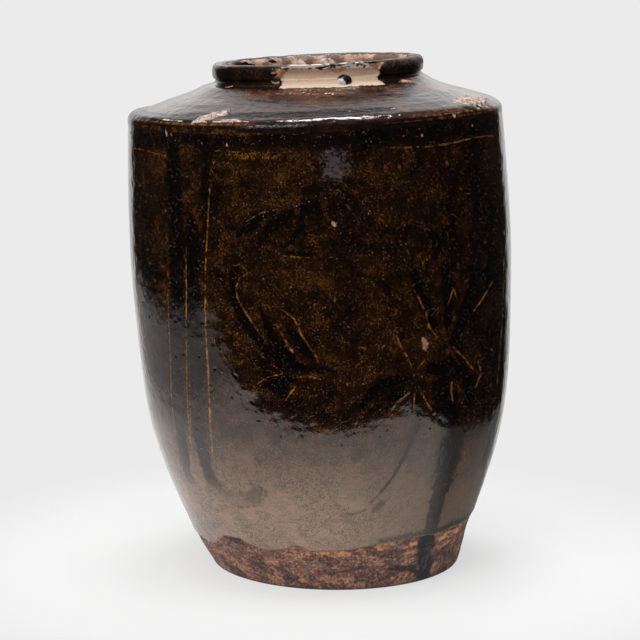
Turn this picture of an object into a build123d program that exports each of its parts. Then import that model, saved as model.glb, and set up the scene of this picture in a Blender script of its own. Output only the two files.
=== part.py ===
from build123d import *
import math
import os

# A hand-built stoneware storage jar. Lengths are millimetres and angles are degrees.
# Each piece is drawn upright round the body's own axis, with heights counted along that
# axis from where it meets the floor. The whole jar then leans towards -X, and its foot
# is trimmed level. The front faces -Y, and angles round the jar count from there to +X.

# Body
foot_radius = 112.0
foot_flare_angle = 23.0
belly_radius = 171.0
belly_height = 305.0
edge_radius = 166.0
edge_height = 414.0
edge_rounding = 5.0
edge_lean_in_angle = 3.4
lean_angle = 2.46
wall_height_shares = (0.215, 0.436, 0.656)
wall_swell_shares = (0.454, 0.81, 0.942)
overrun = 12.0

# Clay thicknesses
wall_thickness = 9.5
base_thickness = 14.0
shoulder_thickness = 9.0

# Shoulder, neck and rolled rim. The neck was set a little off the body's axis.
shoulder_rise = 25.0
dome_bulge = 1.0
neck_offset = 4.3
neck_radius = 90.5
neck_wall = 8.5
neck_rise = 6.0
rim_overhang = 3.5
rim_depth = 13.0
rim_inner_rounding_share = 0.5
rim_outer_rounding_share = 0.4
rim_lower_rounding_share = 0.22

# Luted seams between the clay courses
slab_edge_inset = 8.0
slab_bevel_angle = 45.0
seam_bevel_angle = 30.0
foot_seam_height = 92.0
belly_seam_height = 238.0
shoulder_seam_drop = 11.0
neck_seat_angle = 55.0

# Coils of soft clay pressed over the seams from the inside
base_coil_radius = 10.0
wall_coil_radius = 14.0
wall_coil_swell = 3.0
shoulder_coil_radius = 12.0
neck_coil_radius = 5.0
neck_coil_setback = 1.5

# Glaze coats
glaze_thickness = 1.0
glaze_line_height = 41.0

# Break in the lip, where the glaze is gone and bare clay shows
chip_start_angle = -23.0
chip_end_angle = 39.0
chip_depth = 1.2

# Run of thick glaze that crosses the bare foot
run_angle = 39.0
run_width = 11.0
run_depth = 1.5
run_end_height = 9.0

# Bead of glaze that hangs under the broken lip
bead_angle = 15.5
bead_radius = 5.6
bead_sink = 1.2
bead_drop = 1.6

# Crusts left where the wads of another jar stood in the kiln
crust_thickness = 1.6
left_crust_angle = -33.0
left_crust_inset = 17.0
left_crust_length = 46.0
left_crust_width = 22.0
right_crust_angle = 68.0
right_crust_inset = 15.0
right_crust_length = 34.0
right_crust_width = 21.0

# Sizes that follow from the ones above
mouth_radius = neck_radius - neck_wall
rim_radius = neck_radius + rim_overhang
rim_width = rim_radius - mouth_radius
crown_height = edge_height + shoulder_rise
rim_base_height = crown_height + neck_rise
rim_top_height = rim_base_height + rim_depth
dome_slope = shoulder_rise / (edge_radius - neck_radius)
neck_seat_height = crown_height - neck_offset * dome_slope
shoulder_seam_height = edge_height - shoulder_seam_drop
foot_slope = math.tan(math.radians(foot_flare_angle))
lean_drop = foot_radius * math.sin(math.radians(lean_angle))
foot_start = -lean_drop - overrun
foot_shift = lean_drop * foot_slope
reach = max(belly_radius, edge_radius) + overrun


def turned(profile):
    """Turns a flat profile, drawn as radius and height, once round the axis."""
    return revolve(Plane.XZ * profile, Axis.Z)


def turned_points(*points):
    """Turns the polygon through points of radius and height once round the axis."""
    return turned(make_face(Polyline(*points, close=True)))


def direction(angle):
    """The direction that leans outwards from straight up by an angle."""
    return math.sin(math.radians(angle)), math.cos(math.radians(angle))


def edge_corner(outward, upward):
    """The sharp corner between wall and shoulder, before it is rounded."""
    return edge_radius + outward, edge_height + upward - outward * dome_slope


def wall_curve(outward, upward, first_height):
    """The wall from first_height up to the shoulder's corner."""
    swell = belly_radius - foot_radius
    points = [(foot_radius + outward + first_height * foot_slope, first_height)]
    for height_share, swell_share in zip(wall_height_shares, wall_swell_shares):
        radius = foot_radius + outward + swell_share * swell
        points.append((radius, height_share * belly_height))
    points.append((belly_radius + outward, belly_height))
    points.append(edge_corner(outward, upward))
    return Spline(*points, tangents=[direction(foot_flare_angle), direction(-edge_lean_in_angle)])


def body_profile(outward, upward, first_height):
    """Half the section of the body below the neck, moved outwards and upwards."""
    wall = wall_curve(outward, upward, first_height)
    middle_radius = (edge_radius + neck_radius) / 2
    middle_height = edge_height + shoulder_rise / 2 + dome_bulge + upward
    crown = (neck_radius, crown_height + upward)
    dome = ThreePointArc(edge_corner(outward, upward), (middle_radius, middle_height), crown)
    start = wall @ 0
    closing = Polyline(crown, (0, crown[1]), (0, start.Y), (start.X, start.Y))
    return make_face([wall, dome, closing])


def outside_form(growth):
    """The body with its shoulder edge rounded, grown by the thickness of what covers it."""
    solid = turned(body_profile(growth, growth, foot_start))
    rings = solid.edges().filter_by(lambda edge: edge.is_closed)
    return fillet(rings.sort_by(SortBy.RADIUS)[-1], edge_rounding + growth)


def radius_at(curve, height):
    """The radius of a wall curve at a height."""
    level = Edge.make_line((0, height), (reach, height))
    return curve.edge().intersect(level).vertices()[0].X


def below_level(height):
    """Everything in the body below a level that is square to the axis."""
    depth = height - foot_start + overrun
    return Pos(0, 0, height) * Cylinder(reach, depth, align=(Align.CENTER, Align.CENTER, Align.MAX))


def below_seam(height):
    """Everything below a bevelled seam that crosses the middle of the wall at a height."""
    middle = radius_at(wall_curve(-wall_thickness / 2, 0, foot_start), height)
    drop = wall_thickness * math.tan(math.radians(seam_bevel_angle))
    floor = foot_start - overrun
    return turned_points(
        (0, height - drop),
        (middle - wall_thickness, height - drop),
        (middle + wall_thickness, height + drop),
        (reach + wall_thickness, height + drop),
        (reach + wall_thickness, floor),
        (0, floor),
    )


def slab_form():
    """The base slab's bevelled disc, before its underside is trimmed level."""
    top_radius = foot_radius - slab_edge_inset
    floor_depth = base_thickness - foot_start
    low_radius = top_radius - floor_depth / math.tan(math.radians(slab_bevel_angle))
    top = base_thickness
    return turned_points((0, top), (top_radius, top), (low_radius, foot_start), (0, foot_start))


def neck_form():
    """The neck as a plug without its bore, with the cone that seats it in the shoulder."""
    low = neck_seat_height - shoulder_thickness - overrun
    seat_run = (neck_seat_height - low) / math.tan(math.radians(neck_seat_angle))
    return Pos(neck_offset, 0, 0) * turned_points(
        (0, low),
        (neck_radius - seat_run, low),
        (neck_radius, neck_seat_height),
        (neck_radius, rim_base_height),
        (0, rim_base_height),
    )


def neck_column(radius):
    """A round column on the neck's own axis, from the floor to above the rim."""
    height = rim_top_height + overrun
    return Pos(neck_offset, 0, 0) * Cylinder(radius, height, align=(Align.CENTER, Align.CENTER, Align.MIN))


def rim_form(growth):
    """The rolled rim without its bore, grown by the thickness of what covers it."""
    radius = rim_radius + growth
    low = rim_base_height - growth
    high = rim_top_height + growth
    profile = make_face(Polyline((0, low), (radius, low), (radius, high), (0, high), close=True))
    lower, upper = profile.vertices().group_by(Axis.X)[-1].sort_by(Axis.Y)
    profile = fillet(upper, rim_width * rim_outer_rounding_share + growth)
    lower = profile.vertices().group_by(Axis.X)[-1].sort_by(Axis.Y)[0]
    profile = fillet(lower, rim_width * rim_lower_rounding_share + growth)
    return Pos(neck_offset, 0, 0) * turned(profile)


def rolled_rim():
    """The rim's ring, with the inner edge of the mouth rounded."""
    ring = rim_form(0) - neck_column(mouth_radius)
    rings = ring.edges().filter_by(lambda edge: edge.is_closed)
    inner = rings.group_by(Axis.Z)[-1].sort_by(SortBy.RADIUS)[0]
    return fillet(inner, rim_width * rim_inner_rounding_share)


def chip_form():
    """The sector in front of the neck's axis where the lip is broken."""
    points = [(0, 0)]
    for angle in (chip_start_angle, (chip_start_angle + chip_end_angle) / 2, chip_end_angle):
        sideways, forwards = direction(angle)
        points.append((reach * sideways, -reach * forwards))
    sector = extrude(make_face(Polyline(*points, close=True)), rim_top_height + overrun)
    return Pos(neck_offset, 0, 0) * sector


def coil(radius, height, section_radius, hollow_profile):
    """A ring of soft clay that keeps to the hollow side of the walls it is pressed on."""
    return turned((Pos(radius, height) * Circle(section_radius)) & hollow_profile)


def neck_coil(hollow):
    """The ring of soft clay under the shoulder, round the neck's lower end."""
    radius = mouth_radius + neck_coil_radius + neck_coil_setback
    section = Pos(neck_offset + radius, crown_height - shoulder_thickness) * Circle(neck_coil_radius)
    ring = revolve(Plane.XZ * section, Axis((neck_offset, 0, 0), (0, 0, 1)))
    return ring & hollow


def glaze_run():
    """The rounded run of glaze from the glaze line down over the bare foot."""
    length = glaze_line_height - run_end_height + run_width
    middle = run_end_height + length / 2
    face = Plane.XZ * Pos(0, middle) * SlotOverall(length, run_width, rotation=90)
    path = extrude(face, reach).rotate(Axis.Z, run_angle)
    clay = body_profile(0, 0, foot_start)
    skin = turned(body_profile(run_depth, run_depth, foot_start) - clay)
    return (skin & path) & below_level(glaze_line_height)


def glaze_bead(*cuts):
    """A round bead of glaze in the angle between the neck and the rim."""
    sideways, forwards = direction(bead_angle)
    out = neck_radius + bead_sink
    centre = Pos(neck_offset + out * sideways, -out * forwards, rim_base_height - bead_drop)
    bead = centre * Sphere(bead_radius)
    for cut in cuts:
        bead -= cut
    return bead.solids().sort_by(SortBy.VOLUME)[-1]


def wad_crust(glazed, angle, inset, length, width):
    """A thin oval crust on the shoulder's glaze, just in from the edge."""
    sideways, forwards = direction(angle)
    out = edge_radius - inset
    oval = Rot(0, 0, angle) * Ellipse(length / 2, width / 2)
    column = extrude(Pos(out * sideways, -out * forwards, 0) * oval, rim_top_height)
    skin = outside_form(glaze_thickness + crust_thickness) - glazed
    return skin & (column - below_level(edge_height - edge_rounding))


def leaning(shape):
    """Leans an upright piece and sets the foot's middle over the origin."""
    return Pos(foot_shift, 0, 0) * Rot(0, -lean_angle, 0) * shape


def trimmed(shape):
    """Cuts a leaning piece level with the floor."""
    size = reach + reach
    return shape - Box(size, size, reach, align=(Align.CENTER, Align.CENTER, Align.MAX))


def build_clay(outside):
    """The clay courses and the coils over their seams, by name."""
    inside = body_profile(-wall_thickness, -shoulder_thickness, base_thickness)
    hollow = turned(inside)
    clay = outside - hollow
    slab = slab_form()
    foot_below = below_seam(foot_seam_height)
    belly_below = below_seam(belly_seam_height)
    edge_below = below_seam(shoulder_seam_height)
    neck = neck_form()
    inner_wall = wall_curve(-wall_thickness, -shoulder_thickness, base_thickness)
    base_corner = inner_wall @ 0
    edge_inside = edge_corner(-wall_thickness, -shoulder_thickness)
    coil_rise = wall_coil_radius - wall_coil_swell
    foot_coil_place = radius_at(inner_wall, foot_seam_height) + coil_rise
    belly_coil_place = radius_at(inner_wall, belly_seam_height) + coil_rise
    return {
        "base_slab": clay & slab,
        "foot_wall": (clay & foot_below) - slab,
        "lower_wall": (clay & belly_below) - foot_below,
        "upper_wall": (clay & edge_below) - belly_below,
        "shoulder": (clay - edge_below) - neck,
        "neck_collar": neck - neck_column(mouth_radius) - hollow,
        "rim_roll": rolled_rim() - (chip_form() - neck_column(rim_radius - chip_depth)),
        "base_coil": coil(base_corner.X, base_corner.Y, base_coil_radius, inside),
        "lower_seam_coil": coil(foot_coil_place, foot_seam_height, wall_coil_radius, inside),
        "belly_seam_coil": coil(belly_coil_place, belly_seam_height, wall_coil_radius, inside),
        "shoulder_coil": coil(edge_inside[0], edge_inside[1], shoulder_coil_radius, inside),
        "neck_coil": neck_coil(hollow),
    }


def build_glaze(outside):
    """The glaze coats, with the run, the bead and the kiln crusts on them, by name."""
    glazed = outside_form(glaze_thickness)
    coat = glazed - outside
    line_below = below_level(glaze_line_height)
    edge_below = below_level(edge_height - edge_rounding)
    neck = neck_form()
    crest = mouth_radius + rim_width * rim_inner_rounding_share
    neck_skin = Pos(neck_offset, 0, 0) * turned_points(
        (0, neck_seat_height),
        (neck_radius + glaze_thickness, neck_seat_height),
        (neck_radius + glaze_thickness, rim_base_height),
        (0, rim_base_height),
    )
    collar = (rim_form(glaze_thickness) + neck_skin) - rim_form(0) - neck - neck_column(crest)
    collar = (collar - glazed) - chip_form()
    left = (left_crust_angle, left_crust_inset, left_crust_length, left_crust_width)
    right = (right_crust_angle, right_crust_inset, right_crust_length, right_crust_width)
    return {
        "wall_glaze": (coat & edge_below) - line_below,
        "shoulder_glaze": (coat - edge_below) - neck,
        "collar_glaze": collar,
        "glaze_run": glaze_run(),
        "glaze_bead": glaze_bead(rim_form(0), neck, glazed),
        "left_wad_crust": wad_crust(glazed, *left),
        "right_wad_crust": wad_crust(glazed, *right),
    }


def main():
    """Builds every piece and writes each to a file of its own."""
    os.makedirs("parts", exist_ok=True)
    outside = outside_form(0)
    pieces = build_clay(outside)
    pieces.update(build_glaze(outside))
    for name, piece in pieces.items():
        piece = leaning(piece)
        if name in ("base_slab", "foot_wall"):
            piece = trimmed(piece)
        export_step(piece, os.path.join("parts", name + ".step"))


main()
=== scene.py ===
import logging
import math
from dataclasses import dataclass, field, replace
from enum import Enum
from typing import Iterable, NamedTuple

import bmesh
import bpy
import numpy as np
from mathutils import Euler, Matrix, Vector


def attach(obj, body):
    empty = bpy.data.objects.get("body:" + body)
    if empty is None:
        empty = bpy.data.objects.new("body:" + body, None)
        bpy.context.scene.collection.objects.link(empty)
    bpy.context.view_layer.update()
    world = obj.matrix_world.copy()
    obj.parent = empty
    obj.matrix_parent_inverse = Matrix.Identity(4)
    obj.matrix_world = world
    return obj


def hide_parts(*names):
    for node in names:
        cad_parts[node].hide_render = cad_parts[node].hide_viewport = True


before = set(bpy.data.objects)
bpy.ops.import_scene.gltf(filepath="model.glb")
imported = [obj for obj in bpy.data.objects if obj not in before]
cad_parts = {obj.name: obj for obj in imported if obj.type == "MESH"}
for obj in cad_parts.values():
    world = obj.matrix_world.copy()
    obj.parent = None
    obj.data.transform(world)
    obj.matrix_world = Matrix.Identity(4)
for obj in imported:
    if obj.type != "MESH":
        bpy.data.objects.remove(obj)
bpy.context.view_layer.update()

# A martaban jar of dark glazed stoneware. Angles round the jar are degrees from the front (-Y)
# towards +X. Heights run along the jar's own axis, which leans, and they are millimetres here,
# as radii and thicknesses are; Blender's own values are metres.

log = logging.getLogger("martaban_jar")
MM = 0.001
LEAN = math.radians(2.46)
FOOT_SHIFT = 2.04
NECK_OFFSET = 4.3

# Where the wall's coat starts, how thick a coat is, and how far the shoulder falls for each millimetre out
COAT_FOOT = 33.0
CLAY_UNDER = 1.0
DOME_SLOPE = 0.331


class Station(NamedTuple):
    """One place on an outline.

    Args:
        radius: distance from the axis, in millimetres.
        height: height along the axis, in millimetres.
    """

    radius: float
    height: float


class Channel(Enum):
    """What a stroke paints: the place of its value in the stroke colours."""

    CUT = 0
    INK = 1
    THIN = 2
    BARE = 3
    INNER = 0


@dataclass(frozen=True)
class Stroke:
    """A line drawn in the glaze.

    Args:
        channel: what the line paints.
        width: full width at its middle, in millimetres.
        points: places as angle in degrees and height in millimetres.
        depth: how deep it is cut into the coat, in millimetres.
        strength: how much it paints, from 0 to 1.
        taper: how much narrower its ends are, from 0 to 1.
    """

    channel: Channel
    width: float
    points: tuple[tuple[float, float], ...]
    depth: float = 0.0
    strength: float = 1.0
    taper: float = 0.0


# The kinds of stroke, each from its full width in millimetres and its places
def cut(width: float, *points: tuple[float, float], strength: float = 1.0) -> Stroke:
    """A line cut with a point, where the glaze runs thin and shows amber."""
    return Stroke(Channel.CUT, 0.8 * width, points, depth=0.16, strength=strength, taper=0.5)


def ink(width: float, *points: tuple[float, float], strength: float = 1.0, taper: float = 0.8) -> Stroke:
    """A brushed stroke of iron black under the glaze."""
    return Stroke(Channel.INK, width, points, strength=strength, taper=taper)


def thin(width: float, *points: tuple[float, float], strength: float = 1.0) -> Stroke:
    """A place where the glaze is thin and rusty."""
    return Stroke(Channel.THIN, width, points, strength=strength, taper=0.6)


def bare(width: float, *points: tuple[float, float], strength: float = 1.0) -> Stroke:
    """A chip or speck where pale clay shows."""
    return Stroke(Channel.BARE, width, points, depth=0.2, strength=strength, taper=0.3)


def notch(width: float, *points: tuple[float, float], depth: float) -> Stroke:
    """A dark hollow, or with a negative depth a dark ridge."""
    return Stroke(Channel.INK, width, points, depth=depth, strength=0.9, taper=0.3)


# Vertical frame lines at the left of a panel, and the line that closes it at the foot
FRAME_STROKES = (
    ink(52, (-66, 398), (-64, 330), (-64, 250), (-64, 180), strength=0.42, taper=0.1),
    ink(11, (-33, 400), (-32.5, 380), (-34, 340), (-35, 300), strength=0.55, taper=0.2),
    ink(17, (-46, 396), (-45, 330), (-46, 270), (-50, 190), (-53, 130), (-55, 100), taper=0.1),
    ink(16, (-39, 330), (-39.5, 270), (-41, 200), (-43, 140), (-43, 105), (-37, 90), (-29, 90), (-23, 97),
        taper=0.1),
    cut(2.6, (-32, 361), (-33, 330), (-34.5, 292), (-35.8, 245), (-36.2, 200), (-37.4, 163), (-39, 126),
        (-37.5, 107), (-34, 98)),
    cut(2, (-41.2, 311), (-42, 275), (-44, 225), (-45.5, 190), (-47.3, 150), (-49, 127), (-54, 100)),
    cut(1.6, (-43.6, 205), (-45.9, 160), (-50, 116), strength=0.8),
    cut(1.8, (-49.8, 288), (-51, 250), (-52.5, 210), (-54.5, 172), (-55.5, 140)),
    cut(2.2, (-44.5, 94), (-40, 84), (-33, 81), (-26, 84), (-23, 93), (-21.6, 104)),
)

# The line under the shoulder that the panel hangs from, with the dark band above it
TOP_STROKES = (
    ink(15, (-50, 403), (-30, 402.5), (-10, 401.5), (15, 400.5), (45, 399.5), (75, 399), strength=0.62,
        taper=0.1),
    cut(8, (-29.5, 390), (-24, 389.5), (-17, 388.5), (-10, 388.5), strength=0.5),
    cut(6, (-30.4, 389), (-31, 375), (-32, 358), strength=0.45),
    cut(1.4, (-31, 393.5), (-24, 392.5), (-15, 391), (-8, 391.5), strength=0.8),
    cut(1.6, (19, 391), (27, 389.5), (35, 388.5), (44, 389.5), (53, 391), (62, 390), (72, 387)),
    cut(1.2, (5, 394), (14, 396), (22, 395), strength=0.5),
)

# The spray at the left of the panel
LEFT_SPRAY = (
    ink(11, (-24, 320), (-20, 331), (-16, 340), (-11, 345)),
    ink(11, (-17, 317), (-14, 328), (-10, 338), (-7, 343)),
    cut(1.6, (-21, 334), (-16, 342), (-10.5, 345), strength=0.7),
    ink(5, (-10.5, 311), (-8, 318), (-5, 328), (-4.5, 345)),
    ink(9, (-5.5, 348), (-3, 347), (1, 342)),
    ink(3.5, (-10.5, 309), (-6.5, 308), (-2.5, 307)),
    cut(1.6, (-10.5, 306), (-6.5, 304.5), (-2.5, 303.5)),
    ink(9, (-25.5, 292), (-25.8, 272), (-24, 258), (-21, 242), (-17, 229), (-13, 219), (-8, 211), (1.5, 207),
        taper=0.6),
    cut(12, (-29, 262), (-27, 240), (-23, 222), (-19, 208), strength=0.36),
    cut(9, (-17, 284), (-17.5, 268), (-15, 262), strength=0.30),
    cut(12, (-5, 270), (-1, 250), (2, 232), strength=0.24),
    cut(8, (-22, 348), (-15, 352), (-6, 352), strength=0.30),
    cut(2.2, (-20.5, 292), (-23.4, 287), (-24.6, 279), (-24.3, 270), (-22.3, 259), (-19, 244), (-16, 231)),
    cut(1.6, (-25.3, 298), (-23, 298.5), (-20, 291)),
    cut(2, (-20, 226), (-16, 216), (-12, 206.5)),
    ink(8, (-17.5, 262), (-15.5, 243), (-13, 230), (-8.5, 217)),
    cut(1.8, (-14.4, 256), (-12.5, 244), (-10, 230), (-8.5, 222)),
    ink(9, (-10.3, 246), (-7, 233), (-3, 217)),
    cut(2.4, (-10.8, 260), (-7.8, 252), (-6.3, 240), (-4, 228), (-2, 219)),
    ink(13, (-18, 195), (-15, 196), (-11.5, 198), (-8, 203)),
    ink(9, (-12.5, 184), (-12.3, 192), (-10.5, 200)),
    cut(1.6, (-20, 196.5), (-16.5, 203), (-12.2, 205.5)),
    cut(2, (-8.5, 195), (-10.4, 188), (-12, 182)),
    cut(1.8, (-8.3, 202), (-5.3, 203.5), (-1, 200)),
)

# The taller spray right of the middle, with its knot
RIGHT_SPRAY = (
    ink(6, (7.8, 289), (13, 286), (17, 279), (20, 267), (21, 258), strength=0.6),
    cut(1.4, (3, 281), (3.6, 267), (6, 254), strength=0.6),
    cut(12, (22, 262), (20, 240), (19, 222), strength=0.30),
    cut(7, (31, 330), (32, 312), (33.5, 300), strength=0.30),
    cut(12, (14, 205), (10, 212), (4, 212), strength=0.28),
    ink(4, (28, 386), (27.3, 352), strength=0.5),
    ink(4, (53.5, 382), (52.4, 340), strength=0.6),
    ink(9, (32.7, 318), (35, 307), (37.5, 298)),
    ink(10, (53, 300), (58, 292), (66, 282)),
    ink(10, (47, 282), (54, 273), (63, 262)),
    ink(11, (26.2, 292), (28.5, 272), (31.3, 251), (34, 232)),
    ink(12, (37.2, 290), (39, 256), (38.8, 228)),
    ink(15, (50, 283), (48.5, 258), (44.5, 238), (40, 216)),
    ink(10, (61, 320), (58.5, 285), (53, 250), (46, 222), strength=0.8),
    cut(1.6, (28, 303), (30, 292), (30.5, 285), strength=0.8),
    cut(2.2, (26.5, 272), (28.8, 260), (31, 247)),
    cut(1.8, (38.8, 255), (40.7, 266)),
    cut(1.8, (40.8, 267), (42.3, 255)),
    cut(2.2, (60, 265), (54.5, 253), (49.5, 243)),
    cut(2, (30.5, 248), (31.6, 237), (34.6, 226)),
    cut(2.4, (21, 234), (22.4, 223), (24.7, 212), (26.2, 202)),
    cut(2.2, (30.6, 210), (27.2, 201.5)),
    cut(2.4, (40.2, 217), (44.6, 205), (50, 191)),
    cut(2.6, (51, 201), (54, 187), (51, 174), strength=0.9),
    cut(2.6, (40.2, 188), (40, 177), (41, 165)),
    ink(15, (32, 200), (38.7, 199), (44.7, 190), (48.5, 175), (47.8, 164), taper=0.3),
    ink(9, (26, 195), (20.2, 194), (15, 190), (12, 181), (9.5, 171)),
    ink(12, (23, 188), (20.3, 178), (17.5, 168)),
    ink(17, (36, 197), (36.2, 180), (37.5, 160), taper=0.2),
    cut(2.4, (24.9, 181), (21.5, 175), (19, 167.5)),
    cut(2.2, (26.6, 180), (26.2, 163.5)),
    cut(2.4, (29, 180), (31, 171), (33.4, 160.5)),
    cut(1.6, (14.8, 178), (11.8, 170.5), (7.8, 162.5), strength=0.5),
    ink(2.8, (27, 178), (28, 160), (26.9, 145), (24.3, 127), (20.5, 108), (16, 92), (12.5, 83), strength=2.0,
        taper=0.4),
    ink(9, (19, 86), (16.5, 81), (14, 76), strength=1.6),
    ink(3, (12, 80), (8, 76), (4, 77), (1, 72), strength=1.5, taper=0.5),
    ink(6, (-12, 60), (-9.5, 57)),
    ink(8, (-52, 62), (-44, 58), (-36, 52), strength=0.7),
    ink(9, (9, 148), (9.6, 134), (7, 121), strength=0.4),
)

# The run of thick dark glaze that comes down from the knot over the foot
STEM_STROKES = (
    notch(17, (35.5, 178), (37.5, 162), (40.6, 142), (41.0, 120), (41.2, 95), (40.4, 72), (40.8, 48),
          (41, 34), depth=-0.1),
    ink(26, (36, 184), (39.5, 158), (40.8, 138), taper=0.3),
    ink(22, (40.8, 142), (41.0, 110), (41.1, 90), (40.4, 72), (40.8, 48), (41, 36), strength=2.8, taper=0.1),
    ink(36, (41.5, 145), (41.5, 110), (41.5, 80), (41, 60), strength=0.8, taper=0.1),
    ink(9, (18, 47), (25, 46.5), (31, 46.5), (37, 46), (44, 44.5), (53, 46), (63, 44.5), (72, 46),
        strength=2.0, taper=0.4),
    ink(7, (-52, 46), (-44, 52), (-36, 50), (-30, 46), (-24, 43), (-16, 48), (-6, 44), (4, 43.5), (16, 47),
        strength=0.5, taper=0.2),
)

# Chips, specks and rusty places
FLAWS = (
    thin(5, (-75, 411), (-60, 411), (-45, 410), (-30, 411), (-20, 410), strength=0.35),
    thin(7, (-35, 407), (-24, 407.5), (-16, 407), strength=0.40),
    cut(1.6, (-26, 406.5), (-18, 407), (-13, 407), strength=0.8),
    thin(3, (20, 411), (40, 411), (60, 411), (85, 411), strength=0.45),
    thin(8, (-15, 409), (5, 408), (12, 408), strength=0.26),
    bare(3.4, (4, 332), (4.5, 329.5), strength=0.85),
    bare(2.4, (8, 346), (8.4, 344), strength=0.5),
    thin(5, (8, 345), (8.6, 340), strength=0.5),
    thin(2, (15.7, 383), (15.9, 382)),
    thin(2.4, (19.8, 377), (19.6, 374), strength=0.8),
    thin(3.4, (24, 376), (24.6, 373), strength=0.7),
    thin(1.6, (28.8, 388), (28.6, 376), strength=0.6),
    thin(4, (40, 375), (41, 371), strength=0.7),
    bare(5.5, (29.6, 227), (30.4, 222), (30.2, 216), strength=0.62),
    thin(8, (29, 229), (31, 214), strength=0.5),
    bare(2.6, (-10.7, 233), (-10.4, 230), strength=0.5),
    bare(2, (-10.2, 227), (-8.8, 225), strength=0.5),
    bare(3.2, (10.2, 226), (12, 224.5), (13, 225.5), strength=0.5),
    thin(6, (9.8, 224), (13.5, 226), strength=0.6),
    thin(4, (6.2, 197), (6.6, 193), strength=0.6),
    bare(1.8, (6, 196), (6.3, 195), strength=0.5),
    bare(4.5, (44.4, 411), (45.4, 412.4), strength=0.85),
    bare(3, (-49, 409), (-48.6, 405), strength=0.8),
    bare(2.2, (-46.6, 407), (-46.2, 405), strength=0.7),
    bare(2.4, (-34.6, 401), (-34.3, 399), strength=0.5),
    bare(1.8, (-26, 399), (-25.8, 397.4), strength=0.9),
    bare(1.4, (-21, 395), (-20.8, 394)),
    bare(1.8, (0.5, 403), (1.8, 402.6), strength=0.8),
    bare(1.4, (31.4, 404), (31.6, 403)),
    bare(1.7, (32, 399), (32.2, 397.5)),
    bare(1.7, (53, 402), (53.3, 401)),
    bare(1.4, (43, 403), (43.1, 402)),
    bare(1.5, (-5, 371), (-4.8, 370), strength=0.8),
    thin(4, (10, 152), (9.5, 140), strength=0.5),
    thin(6, (-38, 128), (-36, 122), (-34.5, 120), strength=0.4),
    thin(6, (-20, 178), (-17, 170), (-14, 168), strength=0.35),
)

# Places on the shoulder, as angles and distances in from its edge
SHOULDER_STROKES = (
    bare(2.4, (-56.2, 8), (-55, 8.4), strength=0.6),
    bare(2.6, (-52, 2.5), (-47, 1.5), (-43, 2), strength=0.75),
    bare(2.4, (-38.5, 1.5), (-31, 2.2), (-25, 3.5), (-17, 2.2), strength=0.6),
    thin(3, (-60, -1), (-45, -1.5), (-30, -1.5), (-15, -1.5), strength=0.55),
    thin(1.8, (21, -2.5), (40, -2.5), (60, -2.5), (80, -2.5), strength=0.7),
    thin(1.4, (34, 0.5), (45, 0.5), (62, 1), strength=0.5),
    bare(3, (10.8, 16), (12, 16.4), strength=0.55),
    bare(3.6, (25.6, 15.6), (27.6, 16.2), strength=0.5),
    thin(6, (25, 15), (28.4, 16.6), strength=0.4),
    bare(2.6, (-55.5, 69.5), (-53.5, 71.5), (-51.5, 74), strength=0.75),
    thin(5, (-55, 69), (-52, 74), strength=0.5),
    thin(5, (45, 70), (50, 71), (56, 68), strength=0.8),
    bare(2.6, (48, 71), (52, 70.5), strength=0.55),
    ink(11, (-58, 69), (-45, 68), (-32, 67), (-20, 67), strength=0.7, taper=0.4),
    ink(9, (33, 69), (42, 69.5), (50, 67), (55, 65), strength=0.95, taper=0.5),
    ink(3.6, (35, 63), (44, 62), (52, 60), strength=0.95),
    ink(2.4, (38, 58.5), (47, 57), strength=0.9),
    ink(2, (31, 54), (36, 54), strength=0.8),
    ink(5, (20, 66), (30, 66.5), strength=0.6),
    thin(12, (-50, 67), (-35, 64), (-20, 62), (0, 63), (20, 62), (38, 66), (52, 70), strength=0.34),
    notch(3, (5.5, 53), (8.5, 56), depth=-0.5),
    notch(3, (8.5, 50), (11, 51), depth=-0.5),
    notch(2, (-48, 62), (-46, 64), depth=0.4),
    # Painted shade: dark bands round the shoulder, one just under its edge and others just inside it, for the
    # dark that the rounded edge and the outer shoulder reflect
    ink(9, (-180, -6), (-135, -6), (-90, -6), (-45, -6), (0, -6), (45, -6), (90, -6), (135, -6), (180, -6),
        strength=0.62, taper=0.02),
    ink(17, (-150, 7), (-110, 7), (-85, 7), (-60, 7), (-38, 8), strength=0.85, taper=0.2),
    ink(16, (-45, 14), (-25, 15), (0, 15), (15, 15), (25, 15), strength=0.66, taper=0.2),
    ink(13, (16, 6), (40, 6), (60, 6), (110, 6), (150, 7), strength=0.30, taper=0.3),
    thin(7, (-20, 60), (-5, 57), (5, 55), (14, 58), strength=0.45),
    bare(2.4, (3, 57), (6, 56), (9, 57.5), strength=0.5),
    ink(6, (-40, 71), (-20, 70), (5, 69), (30, 70), strength=0.8, taper=0.3),
    ink(3, (30, 66), (38, 66), strength=0.9),
)

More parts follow.
